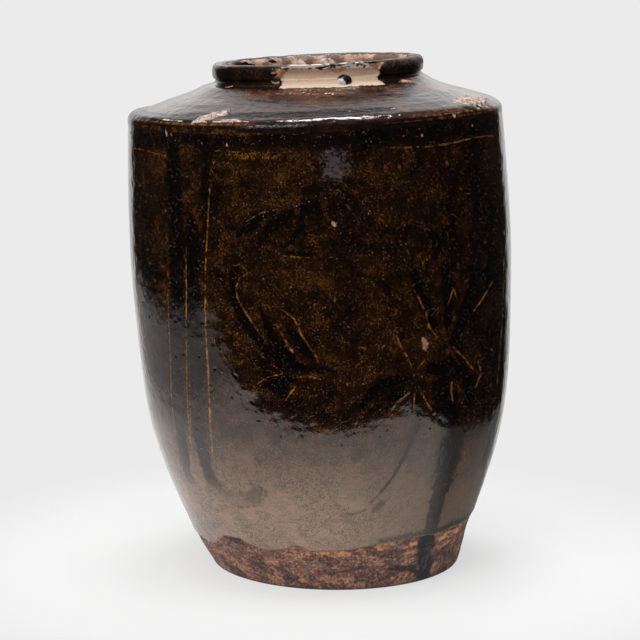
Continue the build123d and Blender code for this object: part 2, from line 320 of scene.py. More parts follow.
# Places on the neck and rim, as angles and distances up from the groove
RIM_STROKES = (
    bare(4.6, (-18.5, 14.8), (-12, 15.6), (-5, 14.8), (1, 15.6), (7, 15)),
    bare(4, (-18, 17.5), (-9, 18), (0, 17.6), (7, 18), strength=0.7),
    bare(5, (15, 14.5), (22, 16), (28, 14.5), strength=0.8),
    notch(2.2, (-20, 17), (-15, 17.6), depth=0.4),
    notch(2, (-1, 12.8), (3, 13.4), (6, 14.6), depth=0.4),
    notch(4.5, (7.5, 15), (10.5, 18), (14, 17), depth=0.9),
    thin(1.6, (-15, 12.4), (-8, 12.0), (-1, 12.6), strength=0.7),
    bare(3.4, (11.6, 19), (16.5, 18.4), strength=0.8),
    thin(5, (5, 11.8), (10.5, 9.4), (15.5, 12)),
    thin(3, (18, 13), (25, 13.5), (31, 13), strength=0.6),
    notch(4.4, (27, 17), (32.5, 16.6), depth=0.8),
    thin(5, (29, 13.5), (33.5, 10.6), (37, 14)),
    thin(4, (-25, 9.5), (-20, 11), (-15, 12), strength=0.9),
    thin(4.5, (-24, 4), (-21, 6.5), (-18, 9), strength=0.8),
    bare(4, (-25, 1.4), (-22, 0.4), strength=0.85),
    bare(7, (-166, 31), (-171, 32), strength=0.75),
    bare(7, (177, 30.5), (171, 31.5), strength=0.75),
    bare(6, (-147, 35), (-153, 37), strength=0.4),
    ink(8, (-112, 25), (-122, 28), (-132, 31), (-140, 33), strength=0.9),
    ink(5, (-146, 27), (-154, 30), strength=0.7),
    ink(4, (150, 29), (157, 31), strength=0.5),
    thin(6, (-150, 20), (-110, 22), (-60, 22), strength=0.4),
)

# Slip and glaze smeared on the foot: grey marks as cut lines, dark ones as ink
FOOT_STROKES = (
    ink(20, (41.5, 48), (40.6, 36), (40.8, 24), (42, 10), (43, 2), strength=0.95, taper=0.1),
    ink(8, (34, 12), (39, 10), (45, 13), (49, 18), strength=0.85),
    ink(6, (39, 16), (31, 16.5), (22, 18), strength=0.85),
    ink(4, (18, 23), (8, 22), (-2, 17), strength=0.6),
    ink(4, (60, 30), (50, 22), (45, 14), strength=0.6),
    ink(9, (-47, 36), (-40, 28), (-30, 18), strength=0.5),
    ink(11, (-26, 22), (-20, 17), strength=0.65),
    ink(6, (-30, 36), (-24, 33), strength=0.5),
    cut(6, (-12, 8), (-12.5, 20), (-9, 28), (-4, 27), (-2, 18), strength=0.9),
    cut(8, (-56, 34), (-52, 30), (-46, 22), strength=0.7),
    cut(8, (-19, 30), (-15, 36), strength=0.7),
    thin(6, (-16, 42), (-8, 37), (2, 36), (12, 38), (22, 40), strength=0.5),
    thin(6, (28, 38), (35, 37.5), strength=0.9),
    thin(6, (46, 36), (54, 38), (64, 36)),
    thin(3, (50, 27), (58, 30), strength=0.9),
    thin(6, (24, 8), (30, 9), (36, 9), strength=0.8),
    thin(5, (-18, 8), (-11, 12), (-9, 22), strength=0.8),
    thin(6, (-34, 10), (-26, 8), strength=0.6),
)


class Grain:
    """Smooth gradient noise on a fixed lattice, the same on every run.

    Args:
        seed: picks the lattice's directions.
    """

    lattice = 256
    gain = 1.6

    def __init__(self, seed: int) -> None:
        """Draws the lattice's table of directions."""
        draw = np.random.default_rng(seed)
        self.order = draw.permutation(self.lattice)
        slopes = draw.normal(size=(self.lattice, 3))
        self.slopes = slopes / np.linalg.norm(slopes, axis=1)[:, None]

    def at(self, points: np.ndarray, cell: float | tuple[float, float, float]) -> np.ndarray:
        """The noise at points.

        Args:
            points: N places, in millimetres.
            cell: size of the pattern along each direction, in millimetres.

        Returns:
            N values between about -1 and 1.
        """
        place = points / np.asarray(cell, float)
        base = np.floor(place).astype(np.int64)
        part = place - base
        ease = part * part * part * (part * (part * 6 - 15) + 10)
        total = np.zeros(len(points))
        for corner in np.ndindex(2, 2, 2):
            pick = 0
            for step in (base + corner).T:
                pick = self.order[(pick + step) % self.lattice]
            weight = np.prod(np.where(corner, ease, 1 - ease), axis=1)
            total += weight * np.sum(self.slopes[pick] * (part - corner), axis=1)
        return total * self.gain


def grains(points: np.ndarray, *layers: tuple[float, int, float | tuple[float, float, float]]) -> np.ndarray:
    """Layers of noise, added together.

    Args:
        points: N places, in millimetres.
        layers: the amount, seed and pattern size of each.

    Returns:
        N values.
    """
    return sum(amount * Grain(seed).at(points, cell) for amount, seed, cell in layers)


def blend(value: np.ndarray, low: float | np.ndarray, high: float | np.ndarray) -> np.ndarray:
    """A smooth step from 0 at low to 1 at high."""
    part = np.clip((value - low) / (high - low), 0, 1)
    return part * part * (3 - 2 * part)


def front_angle(angle: np.ndarray) -> np.ndarray:
    """Angles as degrees from -180 to 180, with 0 in front."""
    return (angle + 180) % 360 - 180


def upright(angle: np.ndarray, ring: np.ndarray) -> np.ndarray:
    """The points of a turned form, from their angles in degrees and their radii and heights."""
    turn = np.radians(angle)
    return np.stack((ring[:, 0] * np.sin(turn), -ring[:, 0] * np.cos(turn), ring[:, 1]), axis=1)


@dataclass(frozen=True)
class JarAxis:
    """The leaning axis that the jar is turned round.

    Args:
        lean: angle from upright towards -X, in radians.
        shift: how far the axis meets the floor from the origin, in millimetres.
    """

    lean: float = LEAN
    shift: float = FOOT_SHIFT

    def world(self, points: np.ndarray) -> np.ndarray:
        """Leans upright points.

        Args:
            points: N places as if the axis were upright, in millimetres.

        Returns:
            The same places in the row frame, in metres.
        """
        x, y, z = points.T
        across = self.shift + x * math.cos(self.lean) - z * math.sin(self.lean)
        upwards = x * math.sin(self.lean) + z * math.cos(self.lean)
        return np.stack((across, y, upwards), axis=1) * MM


AXIS = JarAxis()


class Outline:
    """A smooth outline through given stations, with no kink at any of them."""

    samples = 6000
    reach = 0.4
    # The wall is looked up below this station, where no height comes twice
    wall_station = 12
    wall_samples = 600

    def __init__(self, stations: Iterable[tuple[float, float]]) -> None:
        """Fits the curve.

        Args:
            stations: radius and height of each station, in millimetres.
        """
        self.stations = np.array(list(stations), float)
        steps = np.linalg.norm(np.diff(self.stations, axis=0), axis=1)
        self.along = np.concatenate(([0], np.cumsum(steps)))
        count = len(self.along)
        system = np.eye(count)
        bend = np.zeros((count, 2))
        for i in range(1, count - 1):
            before, after = steps[i - 1], steps[i]
            system[i, i - 1:i + 2] = (before, 2 * (before + after), after)
            rise = (self.stations[i + 1] - self.stations[i]) / after
            bend[i] = 6 * (rise - (self.stations[i] - self.stations[i - 1]) / before)
        self.bends = np.linalg.solve(system, bend)

    def at(self, along: np.ndarray) -> np.ndarray:
        """Reads the curve.

        Args:
            along: N distances along the outline, in millimetres.

        Returns:
            N radii and heights.
        """
        along = np.clip(along, 0, self.along[-1])
        i = np.clip(np.searchsorted(self.along, along, side="right") - 1, 0, len(self.along) - 2)
        step = (self.along[i + 1] - self.along[i])[:, None]
        b = (along - self.along[i])[:, None] / step
        a = 1 - b
        straight = a * self.stations[i] + b * self.stations[i + 1]
        curve = (a**3 - a) * self.bends[i] + (b**3 - b) * self.bends[i + 1]
        return straight + curve * step**2 / 6

    def outwards(self, along: np.ndarray) -> np.ndarray:
        """The directions square to the outline, away from the clay.

        Args:
            along: N distances along the outline, in millimetres.

        Returns:
            N directions, as radius and height.
        """
        run = self.at(along + self.reach) - self.at(along - self.reach)
        square = np.stack((run[:, 1], -run[:, 0]), axis=1)
        return square / np.linalg.norm(square, axis=1)[:, None]

    def at_height(self, height: float) -> float:
        """How far along the first place at a height is."""
        fine = np.linspace(0, self.along[-1], self.samples)
        return float(fine[np.argmax(self.at(fine)[:, 1] >= height)])

    def radius_at(self, height: np.ndarray) -> np.ndarray:
        """The wall's radius at heights, in millimetres."""
        fine = self.at(np.linspace(0, self.along[self.wall_station], self.wall_samples))
        return np.interp(height, fine[:, 1], fine[:, 0])


class Stretch:
    """A stretch of an outline that one piece follows, with a few rings along it."""

    def __init__(self, outline: Outline, start: float, end: float, rows: int) -> None:
        """Chooses the rings.

        Args:
            outline: the whole outline.
            start: how far along the stretch starts.
            end: how far along it ends.
            rows: how many rows of faces it starts with.
        """
        self.along = np.linspace(start, end, rows + 1)
        self.rings = outline.at(self.along)

    def locate(self, points: np.ndarray) -> np.ndarray:
        """Finds points between the rings.

        Args:
            points: N radii and heights, in millimetres.

        Returns:
            How far along the whole outline each is.
        """
        best = np.full(len(points), np.inf)
        found = np.zeros(len(points))
        for i in range(len(self.along) - 1):
            run = self.rings[i + 1] - self.rings[i]
            part = np.clip((points - self.rings[i]) @ run / (run @ run), 0, 1)
            gap = np.linalg.norm(points - self.rings[i] - part[:, None] * run, axis=1)
            closer = gap < best - 1e-9
            best[closer] = gap[closer]
            found[closer] = self.along[i] + part[closer] * (self.along[i + 1] - self.along[i])
        return found


@dataclass(frozen=True)
class Decoration:
    """The strokes of one surface, and how they are laid on it.

    Args:
        strokes: the strokes; where some cross in one channel, the strongest counts.
        drum: radius that turns angles into lengths for the strokes' widths, in millimetres.
        margin: how far past its half width a stroke can reach, in millimetres.
        swelling: how much a stroke's width wavers, as a share.
        wander: how far a brushed stroke's edge wavers, in millimetres.
        softness: how much of its width a stroke's edge fades over.
        brush_fade: how much further a brushed edge fades, in millimetres.
        cut_fade: how much further any other edge fades, in millimetres.
    """

    strokes: tuple[Stroke, ...]
    drum: float = 168.0
    margin: float = 3.0
    swelling: float = 0.2
    wander: float = 0.9
    softness: float = 0.17
    brush_fade: float = 0.9
    cut_fade: float = 0.4

    def laid_out(self, stroke: Stroke) -> np.ndarray:
        """Unrolls a stroke.

        Args:
            stroke: the stroke.

        Returns:
            Its points, as lengths round the drum and heights in millimetres.
        """
        line = np.array(stroke.points, float)
        line[:, 0] = np.radians(line[:, 0]) * self.drum
        return line

    def mask(self, stroke: Stroke, places: np.ndarray, waver: np.ndarray) -> np.ndarray:
        """How much a stroke covers each place, from 0 to 1.

        Args:
            stroke: the stroke.
            places: N places, as lengths round the drum and heights in millimetres.
            waver: noise that makes the stroke's edge uneven.

        Returns:
            The cover at each place.
        """
        line = self.laid_out(stroke)
        lengths = np.linalg.norm(np.diff(line, axis=0), axis=1)
        nearest = np.full(len(places), np.inf)
        part_along = np.zeros(len(places))
        start = 0.0
        for i, length in enumerate(lengths):
            run = (line[i + 1] - line[i]) / length
            gap = places - line[i]
            along = np.clip(gap @ run, 0, length)
            distance = np.linalg.norm(gap - along[:, None] * run, axis=1)
            closer = distance < nearest
            nearest[closer] = distance[closer]
            part_along[closer] = (start + along[closer]) / lengths.sum()
            start += length
        swell = 1 - stroke.taper * np.abs(2 * part_along - 1) ** 2
        half = stroke.width / 2 * swell * (1 + self.swelling * waver)
        if stroke.channel is Channel.INK:
            half += self.wander * waver
            soft, broken = self.softness * stroke.width + self.brush_fade, 1.0
        else:
            soft, broken = self.softness * stroke.width + self.cut_fade, np.clip(0.85 + 0.7 * waver, 0.25, 1.0)
        return stroke.strength * broken * blend(half - nearest, -soft, soft)

    def apply(self, angle: np.ndarray, height: np.ndarray, waver: np.ndarray) -> tuple[np.ndarray, np.ndarray]:
        """Paints every stroke.

        Args:
            angle: angle of each place, in degrees.
            height: height of each place, in millimetres.
            waver: noise for uneven edges.

        Returns:
            The four stroke colours of each place, and how deep it is cut, in millimetres.
        """
        paint = np.zeros((len(angle), 4))
        depth = np.zeros(len(angle))
        across = np.radians(angle) * self.drum
        whole_turn = math.tau * self.drum
        for stroke in self.strokes:
            line = self.laid_out(stroke)
            reach = stroke.width + self.margin
            low, high = line.min(axis=0), line.max(axis=0)
            turned = across + np.round(((low[0] + high[0]) / 2 - across) / whole_turn) * whole_turn
            near = (turned > low[0] - reach) & (turned < high[0] + reach)
            near &= (height > low[1] - reach) & (height < high[1] + reach)
            if near.any():
                cover = self.mask(stroke, np.stack((turned[near], height[near]), axis=1), waver[near])
                channel = stroke.channel.value
                paint[near, channel] = np.maximum(paint[near, channel], cover)
                keep = np.maximum if stroke.depth >= 0 else np.minimum
                depth[near] = keep(depth[near], stroke.depth * cover)
        return paint, depth


def repeated(strokes: Iterable[Stroke], turn: float) -> tuple[Stroke, ...]:
    """The same strokes, moved round the jar by an angle in degrees."""
    return tuple(replace(stroke, points=tuple((angle + turn, height) for angle, height in stroke.points))
                 for stroke in strokes)


def all_strokes(panels: tuple[float, ...] = (0.0, 120.0, 240.0), narrowing: float = 4.0) -> tuple[Stroke, ...]:
    """The strokes of the three panels, with the flaws of the front.

    Args:
        panels: how far round the jar each panel is from the first, in degrees.
        narrowing: how much closer together the two sprays stand on the panels that the photo doesn't show.

    Returns:
        All the strokes of the wall.
    """
    strokes: tuple[Stroke, ...] = ()
    for turn in panels:
        strokes += repeated(FRAME_STROKES + TOP_STROKES, turn)
    strokes += LEFT_SPRAY + RIGHT_SPRAY + STEM_STROKES + FLAWS
    for turn in panels[1:]:
        strokes += repeated(LEFT_SPRAY, turn + narrowing) + repeated(RIGHT_SPRAY, turn - narrowing)
    return strokes


class GlazeLine:
    """The uneven line above the foot where the glaze ends."""

    # Angles and heights of the line, from the back round the front to the back
    PLACES = (
        (-180, 42), (-150, 39), (-120, 44), (-90, 38), (-62, 35.5), (-55, 36.5), (-50, 43), (-46, 48.5),
        (-38, 48.8), (-33, 42.7), (-26, 39.3), (-19, 41.7), (-15, 45.4), (-12, 45), (-9, 40.6), (-2, 39.8),
        (5, 40.1), (10, 41.2), (17, 43.9), (26, 43.2), (37, 43.3), (44, 40.9), (53, 42.7), (63, 41.2), (80, 44),
        (105, 40), (135, 44), (160, 40), (180, 42),
    )

    @classmethod
    def height(cls, angle: np.ndarray) -> np.ndarray:
        """The line's height at angles in degrees, in millimetres."""
        places = np.array(cls.PLACES, float)
        return np.interp(front_angle(angle), places[:, 0], places[:, 1])


@dataclass(frozen=True)
class Spots:
    """Places on a surface of the jar.

    Args:
        angle: their angles round the jar, in degrees.
        along: how far along the outline they are, in millimetres.
        ring: their radii and heights on the outline, in millimetres.
    """

    angle: np.ndarray
    along: np.ndarray
    ring: np.ndarray

    @property
    def points(self) -> np.ndarray:
        """The same places on the plain turned form, for noise to read."""
        return upright(self.angle, self.ring)


def add_paint(paint: np.ndarray, channel: Channel, amount: np.ndarray) -> None:
    """Raises one channel of the stroke colours to an amount where it is lower."""
    paint[:, channel.value] = np.maximum(paint[:, channel.value], amount)


class Skin:
    """A surface of the jar, known by the angle round it and the distance along its outline."""

    edge_step = 0.8

    def __init__(self, outline: Outline) -> None:
        """Keeps the outline that the surface follows."""
        self.outline = outline

    def spots(self, angle: np.ndarray, along: np.ndarray) -> Spots:
        """Places on the surface, from their angles and their distances along the outline."""
        return Spots(angle, along, self.outline.at(along))

    def lift(self, spots: Spots) -> np.ndarray:
        """How far the surface stands out from its outline, in millimetres."""
        return np.zeros(len(spots.angle))

    def paint(self, spots: Spots) -> np.ndarray:
        """The four stroke colours of each place."""
        return np.zeros((len(spots.angle), 4))

    def bent(self, spots: Spots) -> np.ndarray:
        """The radius and height of each place where the form isn't a turned one."""
        return spots.ring

    def seat(self, angle: np.ndarray, ring: np.ndarray) -> np.ndarray:
        """Upright points of radii and heights, in millimetres."""
        return upright(angle, ring)

    def hidden(self, angle: np.ndarray, ring: np.ndarray) -> np.ndarray:
        """Points of a piece's hidden side in the row frame, in metres."""
        return AXIS.world(self.seat(angle, ring))

    def place(self, angle: np.ndarray, along: np.ndarray, extra: np.ndarray | float = 0.0) -> np.ndarray:
        """Points of the surface in the row frame, in metres.

        Args:
            angle: angle of each place, in degrees.
            along: distance of each place along the outline, in millimetres.
            extra: how far over the surface the points are, in millimetres.

        Returns:
            The points.
        """
        spots = self.spots(angle, along)
        lift = self.lift(spots) + extra
        return AXIS.world(self.seat(angle, self.bent(spots) + self.outline.outwards(along) * lift[:, None]))

    def facing(self, angle: np.ndarray, along: np.ndarray) -> np.ndarray:
        """The direction that the surface faces at each place.

        Args:
            angle: angle of each place, in degrees.
            along: distance of each place along the outline, in millimetres.

        Returns:
            The directions.
        """
        turn = np.degrees(self.edge_step / self.outline.at(along)[:, 0])
        round_run = self.place(angle + turn, along) - self.place(angle - turn, along)
        up_run = self.place(angle, along + self.edge_step) - self.place(angle, along - self.edge_step)
        square = np.cross(round_run, up_run)
        return square / np.linalg.norm(square, axis=1)[:, None]


class GlazeSkin(Skin):
    """A glazed surface: uneven as a wall raised by hand is, pebbled, with cut lines."""

    decoration = Decoration(all_strokes())
    sunk = 0.32
    deepest = -0.85

    def waver(self, spots: Spots) -> np.ndarray:
        """The noise that makes the strokes' edges uneven."""
        return grains(spots.points, (1.0, 21, 5.0), (0.6, 24, 2.0))

    def drawn(self, spots: Spots) -> tuple[np.ndarray, np.ndarray]:
        """The strokes' colours and depths at each place."""
        return self.decoration.apply(spots.angle, spots.ring[:, 1], self.waver(spots))

    def relief(self, spots: Spots) -> np.ndarray:
        """The unevenness that all of the glaze shares.

        Args:
            spots: the places.

        Returns:
            How far each place stands out, in millimetres.
        """
        points = spots.points
        uneven = grains(points, (0.26, 11, (75, 75, 55)), (0.12, 12, (30, 30, 22)))
        lumps = grains(points, (0.13, 13, (13, 13, 11)), (0.05, 14, 6.0), (0.010, 15, 2.3))
        pits = 0.20 * blend(Grain(16).at(points, (4.5, 4.5, 5.0)), 0.50, 0.80)
        return np.maximum(uneven + lumps - pits - self.sunk - self.drawn(spots)[1], self.deepest)


class WallSkin(GlazeSkin):
    """The wall's glaze, rolled over at its lower edge."""

    roll = 0.25
    roll_up = 2.5
    roll_wide = 2.0
    end_sunk = 1.5

    def lift(self, spots: Spots) -> np.ndarray:
        """Rolls the coat's lower edge over and sinks it below that.

        Args:
            spots: the places.

        Returns:
            How far each stands out, in millimetres.
        """
        line = GlazeLine.height(spots.angle) + grains(spots.points, (1.2, 22, 9.0), (0.6, 23, 3.0))
        above = spots.ring[:, 1] - line
        roll = self.roll * np.exp(-((above - self.roll_up) / self.roll_wide) ** 2)
        coat = (self.relief(spots) + roll) * blend(above, 0.0, 2.2)
        return coat - self.end_sunk * (1 - blend(above, -0.8, 1.2))

    def paint(self, spots: Spots) -> np.ndarray:
        """Adds a thin rusty line where the coat ends.

        Args:
            spots: the places.

        Returns:
            The four stroke colours of each.
        """
        paint = self.drawn(spots)[0]
        above = spots.ring[:, 1] - GlazeLine.height(spots.angle)
        add_paint(paint, Channel.THIN, 0.7 * (1 - blend(above, 0.5, 3.0)))
        return paint


class LipBreak:
    """The stretch of the lip in front that has broken away, which leaves a shallow cove of bare clay."""

    start = -19.5
    end = 34.5
    fade = 1.5
    ragged = 1.3
    # Radii and heights of the cove, from the shoulder up to what is left of the lip
    COVE = ((104.0, 436.0), (99.5, 437.6), (96.4, 439.5), (94.0, 442.0), (92.3, 446.0), (91.8, 451.0),
            (92.4, 455.5), (92.6, 458.0))

    @classmethod
    def cover(cls, spots: Spots) -> np.ndarray:
        """How far each place is inside the broken stretch, whose ends are ragged.

        Args:
            spots: the places.

        Returns:
            The cover at each, from 0 to 1.
        """
        wander = cls.ragged * grains(spots.points, (1.0, 31, 6.0), (0.4, 32, 2.2))
        turned = front_angle(spots.angle) + wander
        ended = blend(turned, cls.end - cls.fade, cls.end + cls.fade)
        return blend(turned, cls.start - cls.fade, cls.start + cls.fade) * (1 - ended)

    @classmethod
    def radius(cls, height: np.ndarray) -> np.ndarray:
        """The cove's radius at heights, in millimetres."""
        cove = np.array(cls.COVE)
        return np.interp(height, cove[:, 1], cove[:, 0])


class UpperSkin(GlazeSkin):
    """The shoulder, neck and rim: brushed round in fine ridges, with the broken lip in front."""

    shoulder_marks = Decoration(SHOULDER_STROKES, 150.0)
    rim_marks = Decoration(RIM_STROKES, 92.0)
    neck_radius = 100
    body_radius = 160
    dome_top = 437.5
    neck_foot = 441.5
    brush_radius = 60
    # How far from the groove and from the crest the bare clay of the break starts and ends, and how far past
    # the crest the bare inside starts
    clay_low = -8.8
    clay_top = -7.5
    inside_start = 3.5
    # Where the shoulder's edge is worn or pushed out: how far out, the angle and how far round it reaches in
    # degrees, the place in from the edge and how far along it reaches
    EDGE_WEAR = ((-1.1, 75, 55, 0, 5), (2.0, -90, 40, 3, 6))

    def own_marks(self, spots: Spots) -> tuple[np.ndarray, np.ndarray]:
        """Draws the shoulder's and the rim's own marks.

        Args:
            spots: the places.

        Returns:
            The four stroke colours of each, and how deep it is cut, in millimetres.
        """
        waver = self.waver(spots)
        on_rim = spots.along > GROOVE_ALONG - 1
        paint, depth = np.zeros((len(on_rim), 4)), np.zeros(len(on_rim))
        for decoration, start, chosen in ((self.shoulder_marks, CORNER_ALONG, ~on_rim),
                                          (self.rim_marks, GROOVE_ALONG, on_rim)):
            own, cut_depth = decoration.apply(spots.angle, spots.along - start, waver)
            paint = np.maximum(paint, own * chosen[:, None])
            depth += cut_depth * chosen
        return paint, depth

    def seat(self, angle: np.ndarray, ring: np.ndarray) -> np.ndarray:
        """Moves the upper part over to the neck's own axis and keeps it on the shoulder's dome.

        Args:
            angle: angle of each place, in degrees.
            ring: radius and height of each.

        Returns:
            Upright points, in millimetres.
        """
        points = upright(angle, ring)
        points[:, 0] += NECK_OFFSET * (1 - blend(ring[:, 0], self.neck_radius, self.body_radius))
        on_dome = 1 - blend(ring[:, 1], self.dome_top, self.neck_foot)
        points[:, 2] -= DOME_SLOPE * (np.hypot(points[:, 0], points[:, 1]) - ring[:, 0]) * on_dome
        return points

    def bent(self, spots: Spots) -> np.ndarray:
        """Brings the outside of the lip back to the broken cove.

        Args:
            spots: the places.

        Returns:
            The radius and height of each.
        """
        over_crest = blend(spots.along, CREST_ALONG - 3.5, CREST_ALONG)
        outside = blend(spots.along, GROOVE_ALONG - 9, GROOVE_ALONG - 3) * (1 - over_crest)
        radius, height = spots.ring.T
        radius = radius + LipBreak.cover(spots) * outside * (LipBreak.radius(height) - radius)
        return np.stack((radius, height), axis=1)

    def ridges(self, spots: Spots) -> np.ndarray:
        """The fine ridges of a brush that went round the jar.

        Args:
            spots: the places.

        Returns:
            How far each stands out, in millimetres.
        """
        turn = np.radians(spots.angle)
        across, back = self.brush_radius * np.sin(turn), self.brush_radius * np.cos(turn)
        brushed = np.stack((across, back, spots.along), axis=1)
        return grains(brushed, (0.05, 33, (30, 30, 2.6)), (0.14, 34, (45, 45, 8.0)))

    def lift(self, spots: Spots) -> np.ndarray:
        """Adds brush ridges, a worn lip and a softer, nibbled shoulder edge.

        Args:
            spots: the places.

        Returns:
            How far each stands out, in millimetres.
        """
        inwards = spots.along - CORNER_ALONG
        own = self.ridges(spots)
        for out, angle, spread, place, width in self.EDGE_WEAR:
            turned = (front_angle(spots.angle) - angle) / spread
            own += out * np.exp(-turned**2) * np.exp(-((inwards - place) / width) ** 2)
        own -= 0.4 * np.exp(-(inwards / 2.5) ** 2) * blend(Grain(35).at(spots.points, 8.0), 0.0, 0.5)
        on_lip = blend(spots.along, GROOVE_ALONG, GROOVE_ALONG + 6)
        own += (0.4 * Grain(36).at(spots.points, 14.0) - 0.25) * on_lip
        own -= self.own_marks(spots)[1]
        return self.relief(spots) + own * blend(spots.along, SHOULDER_ALONG, SHOULDER_ALONG + 4)

    def paint(self, spots: Spots) -> np.ndarray:
        """Paints bare clay in the break, rust round it, and the unglazed inside of the neck.

        Args:
            spots: the places.

        Returns:
            The four stroke colours of each.
        """
        along = spots.along
        paint = np.maximum(self.drawn(spots)[0], self.own_marks(spots)[0])
        ragged = grains(spots.points, (1.0, 37, 5.0), (0.5, 38, 1.8))
        broken = LipBreak.cover(spots)
        low, top = GROOVE_ALONG + self.clay_low + 0.8 * ragged, CREST_ALONG + self.clay_top + 3.0 * ragged
        chip = broken * blend(along, low - 0.6, low + 0.6) * (1 - blend(along, top - 0.8, top + 0.8))
        around = broken * blend(along, low - 3, low) * (1 - blend(along, top, top + 4)) * (1 - chip)
        add_paint(paint, Channel.BARE, chip)
        add_paint(paint, Channel.THIN, 0.55 * around)
        glaze_end = CREST_ALONG + self.inside_start + 1.4 * ragged
        paint[:, Channel.INNER.value] *= along < GROOVE_ALONG
        add_paint(paint, Channel.INNER, blend(along, glaze_end, glaze_end + 3.0))
        return paint


class FootSkin(Skin):
    """The bare foot: level underneath, wiped round by hand, and pushed a little to one side."""

    top = 52.0
    flare = 0.424
    foot_radius = 112.0
    rounding = 2.4
    pushed = 3.8
    pushed_from = -6.0
    pushed_to = 34.0
    marks = Decoration(FOOT_STROKES, 125.0)

    def paint(self, spots: Spots) -> np.ndarray:
        """The smears' colours."""
        waver = grains(spots.points, (1.0, 45, 6.0), (0.6, 46, 2.4))
        return self.marks.apply(spots.angle, spots.ring[:, 1], waver)[0]

    def bent(self, spots: Spots) -> np.ndarray:
        """Cuts the leaning form level at the floor and rounds its lower edge.

        Args:
            spots: the places.

        Returns:
            The radius and height of each.
        """
        tilt = np.sin(np.radians(spots.angle)) * math.tan(AXIS.lean)
        floor = -self.foot_radius * tilt / (1 + self.flare * tilt)
        height = floor + spots.ring[:, 1] * (self.top - floor) / self.top
        radius = self.outline.radius_at(height) - CLAY_UNDER
        inset = self.rounding - np.clip(height - floor, 0, self.rounding)
        radius -= self.rounding - np.sqrt(self.rounding**2 - inset**2)
        return np.stack((radius, height), axis=1)

    def lift(self, spots: Spots) -> np.ndarray:
        """Adds dents, wiping marks and grit."""
        uneven = grains(spots.points, (0.30, 41, (42, 42, 7)), (0.16, 42, (16, 16, 3.2)),
                        (0.35, 44, (60, 60, 26)), (0.07, 43, 2.2))
        return (uneven - 0.3) * blend(spots.ring[:, 1], 0.5, 4.0)

    def seat(self, angle: np.ndarray, ring: np.ndarray) -> np.ndarray:
        """Pushes the foot over near the floor, but no higher above it.

        Args:
            angle: angle of each place, in degrees.
            ring: radius and height of each.

        Returns:
            Upright points, in millimetres.
        """
        points = upright(angle, ring)
        push = self.pushed * (1 - blend(ring[:, 1], self.pushed_from, self.pushed_to))
        points[:, 0] += push
        points[:, 2] -= push * math.tan(AXIS.lean)
        return points

    def hidden(self, angle: np.ndarray, ring: np.ndarray) -> np.ndarray:
        """Puts the lowest points of the hidden side on the floor.

        Args:
            angle: angle of each place, in degrees.
            ring: radius and height of each.

        Returns:
            The points in the row frame, in metres.
        """
        points = super().hidden(angle, ring)
        points[ring[:, 1] < 1, 2] = 0
        return points


# The outside of the glaze, as radii and heights from under the foot to the inside of the neck
WALL = (
    (107.8, -12), (113.0, 0), (125.6, 30), (137.6, 60), (145.2, 80), (152.0, 100), (159.0, 125), (163.8, 150),
    (167.15, 180), (169.2, 210), (171.15, 250), (172.05, 290), (171.45, 330), (170.2, 360), (168.5, 390),
    (167.8, 402),
)
SHOULDER_EDGE = ((167.5, 407), (167.4, 411.4), (166.5, 414.0))
DOME = (
    (164.6, 416.1), (161.8, 417.7), (157, 419.4), (150, 421.7), (139, 425.3), (128.5, 428.6), (112, 434.0),
    (99.8, 439.3), (96.0, 441.0), (93.7, 442.3),
)
LIP = (
    (92.3, 443.6), (92.5, 444.6), (94.0, 445.6), (94.8, 447.3), (95.0, 450), (94.9, 453.5), (93.9, 456.7),
    (91.9, 458.5),
)
MOUTH = ((89.4, 459.0), (86.2, 458.2), (83.4, 455.6), (82.1, 451.8), (82.0, 446), (82.0, 438), (82.0, 431.5))
WHOLE_OUTLINE = Outline(WALL + SHOULDER_EDGE + DOME + LIP + MOUTH)

# How far along it the shoulder's edge, the dome, the lip and the mouth start
STARTS = np.cumsum([len(part) for part in (WALL, SHOULDER_EDGE, DOME, LIP)])
SHOULDER_ALONG, CORNER_ALONG, GROOVE_ALONG, CREST_ALONG = WHOLE_OUTLINE.along[STARTS].tolist()
NECK_SEAM = GROOVE_ALONG - 2.2
NECK_SEAT = Station(90.4, 441.5)


# Working the meshes
def all_off() -> None:
    """Leaves edit mode and deselects every object."""
    if bpy.context.object and bpy.context.object.mode != "OBJECT":
        bpy.ops.object.mode_set(mode="OBJECT")
    bpy.ops.object.select_all(action="DESELECT")


def named(name: str) -> bpy.types.Object:
    """Names the object that was just added, with its mesh, and gives it."""
    piece = bpy.context.object
    piece.name = piece.data.name = name
    return piece


def vertex_array(mesh: bpy.types.Mesh) -> np.ndarray:
    """Reads a mesh.

    Args:
        mesh: the mesh.

    Returns:
        Its points, as an N by 3 array.
    """
    points = np.empty(len(mesh.vertices) * 3)
    mesh.vertices.foreach_get("co", points)
    return points.reshape(-1, 3)


def move_vertices(mesh: bpy.types.Mesh, points: np.ndarray) -> None:
    """Puts the mesh's points at places in metres."""
    mesh.vertices.foreach_set("co", points.astype(np.float32).ravel())
    mesh.update()


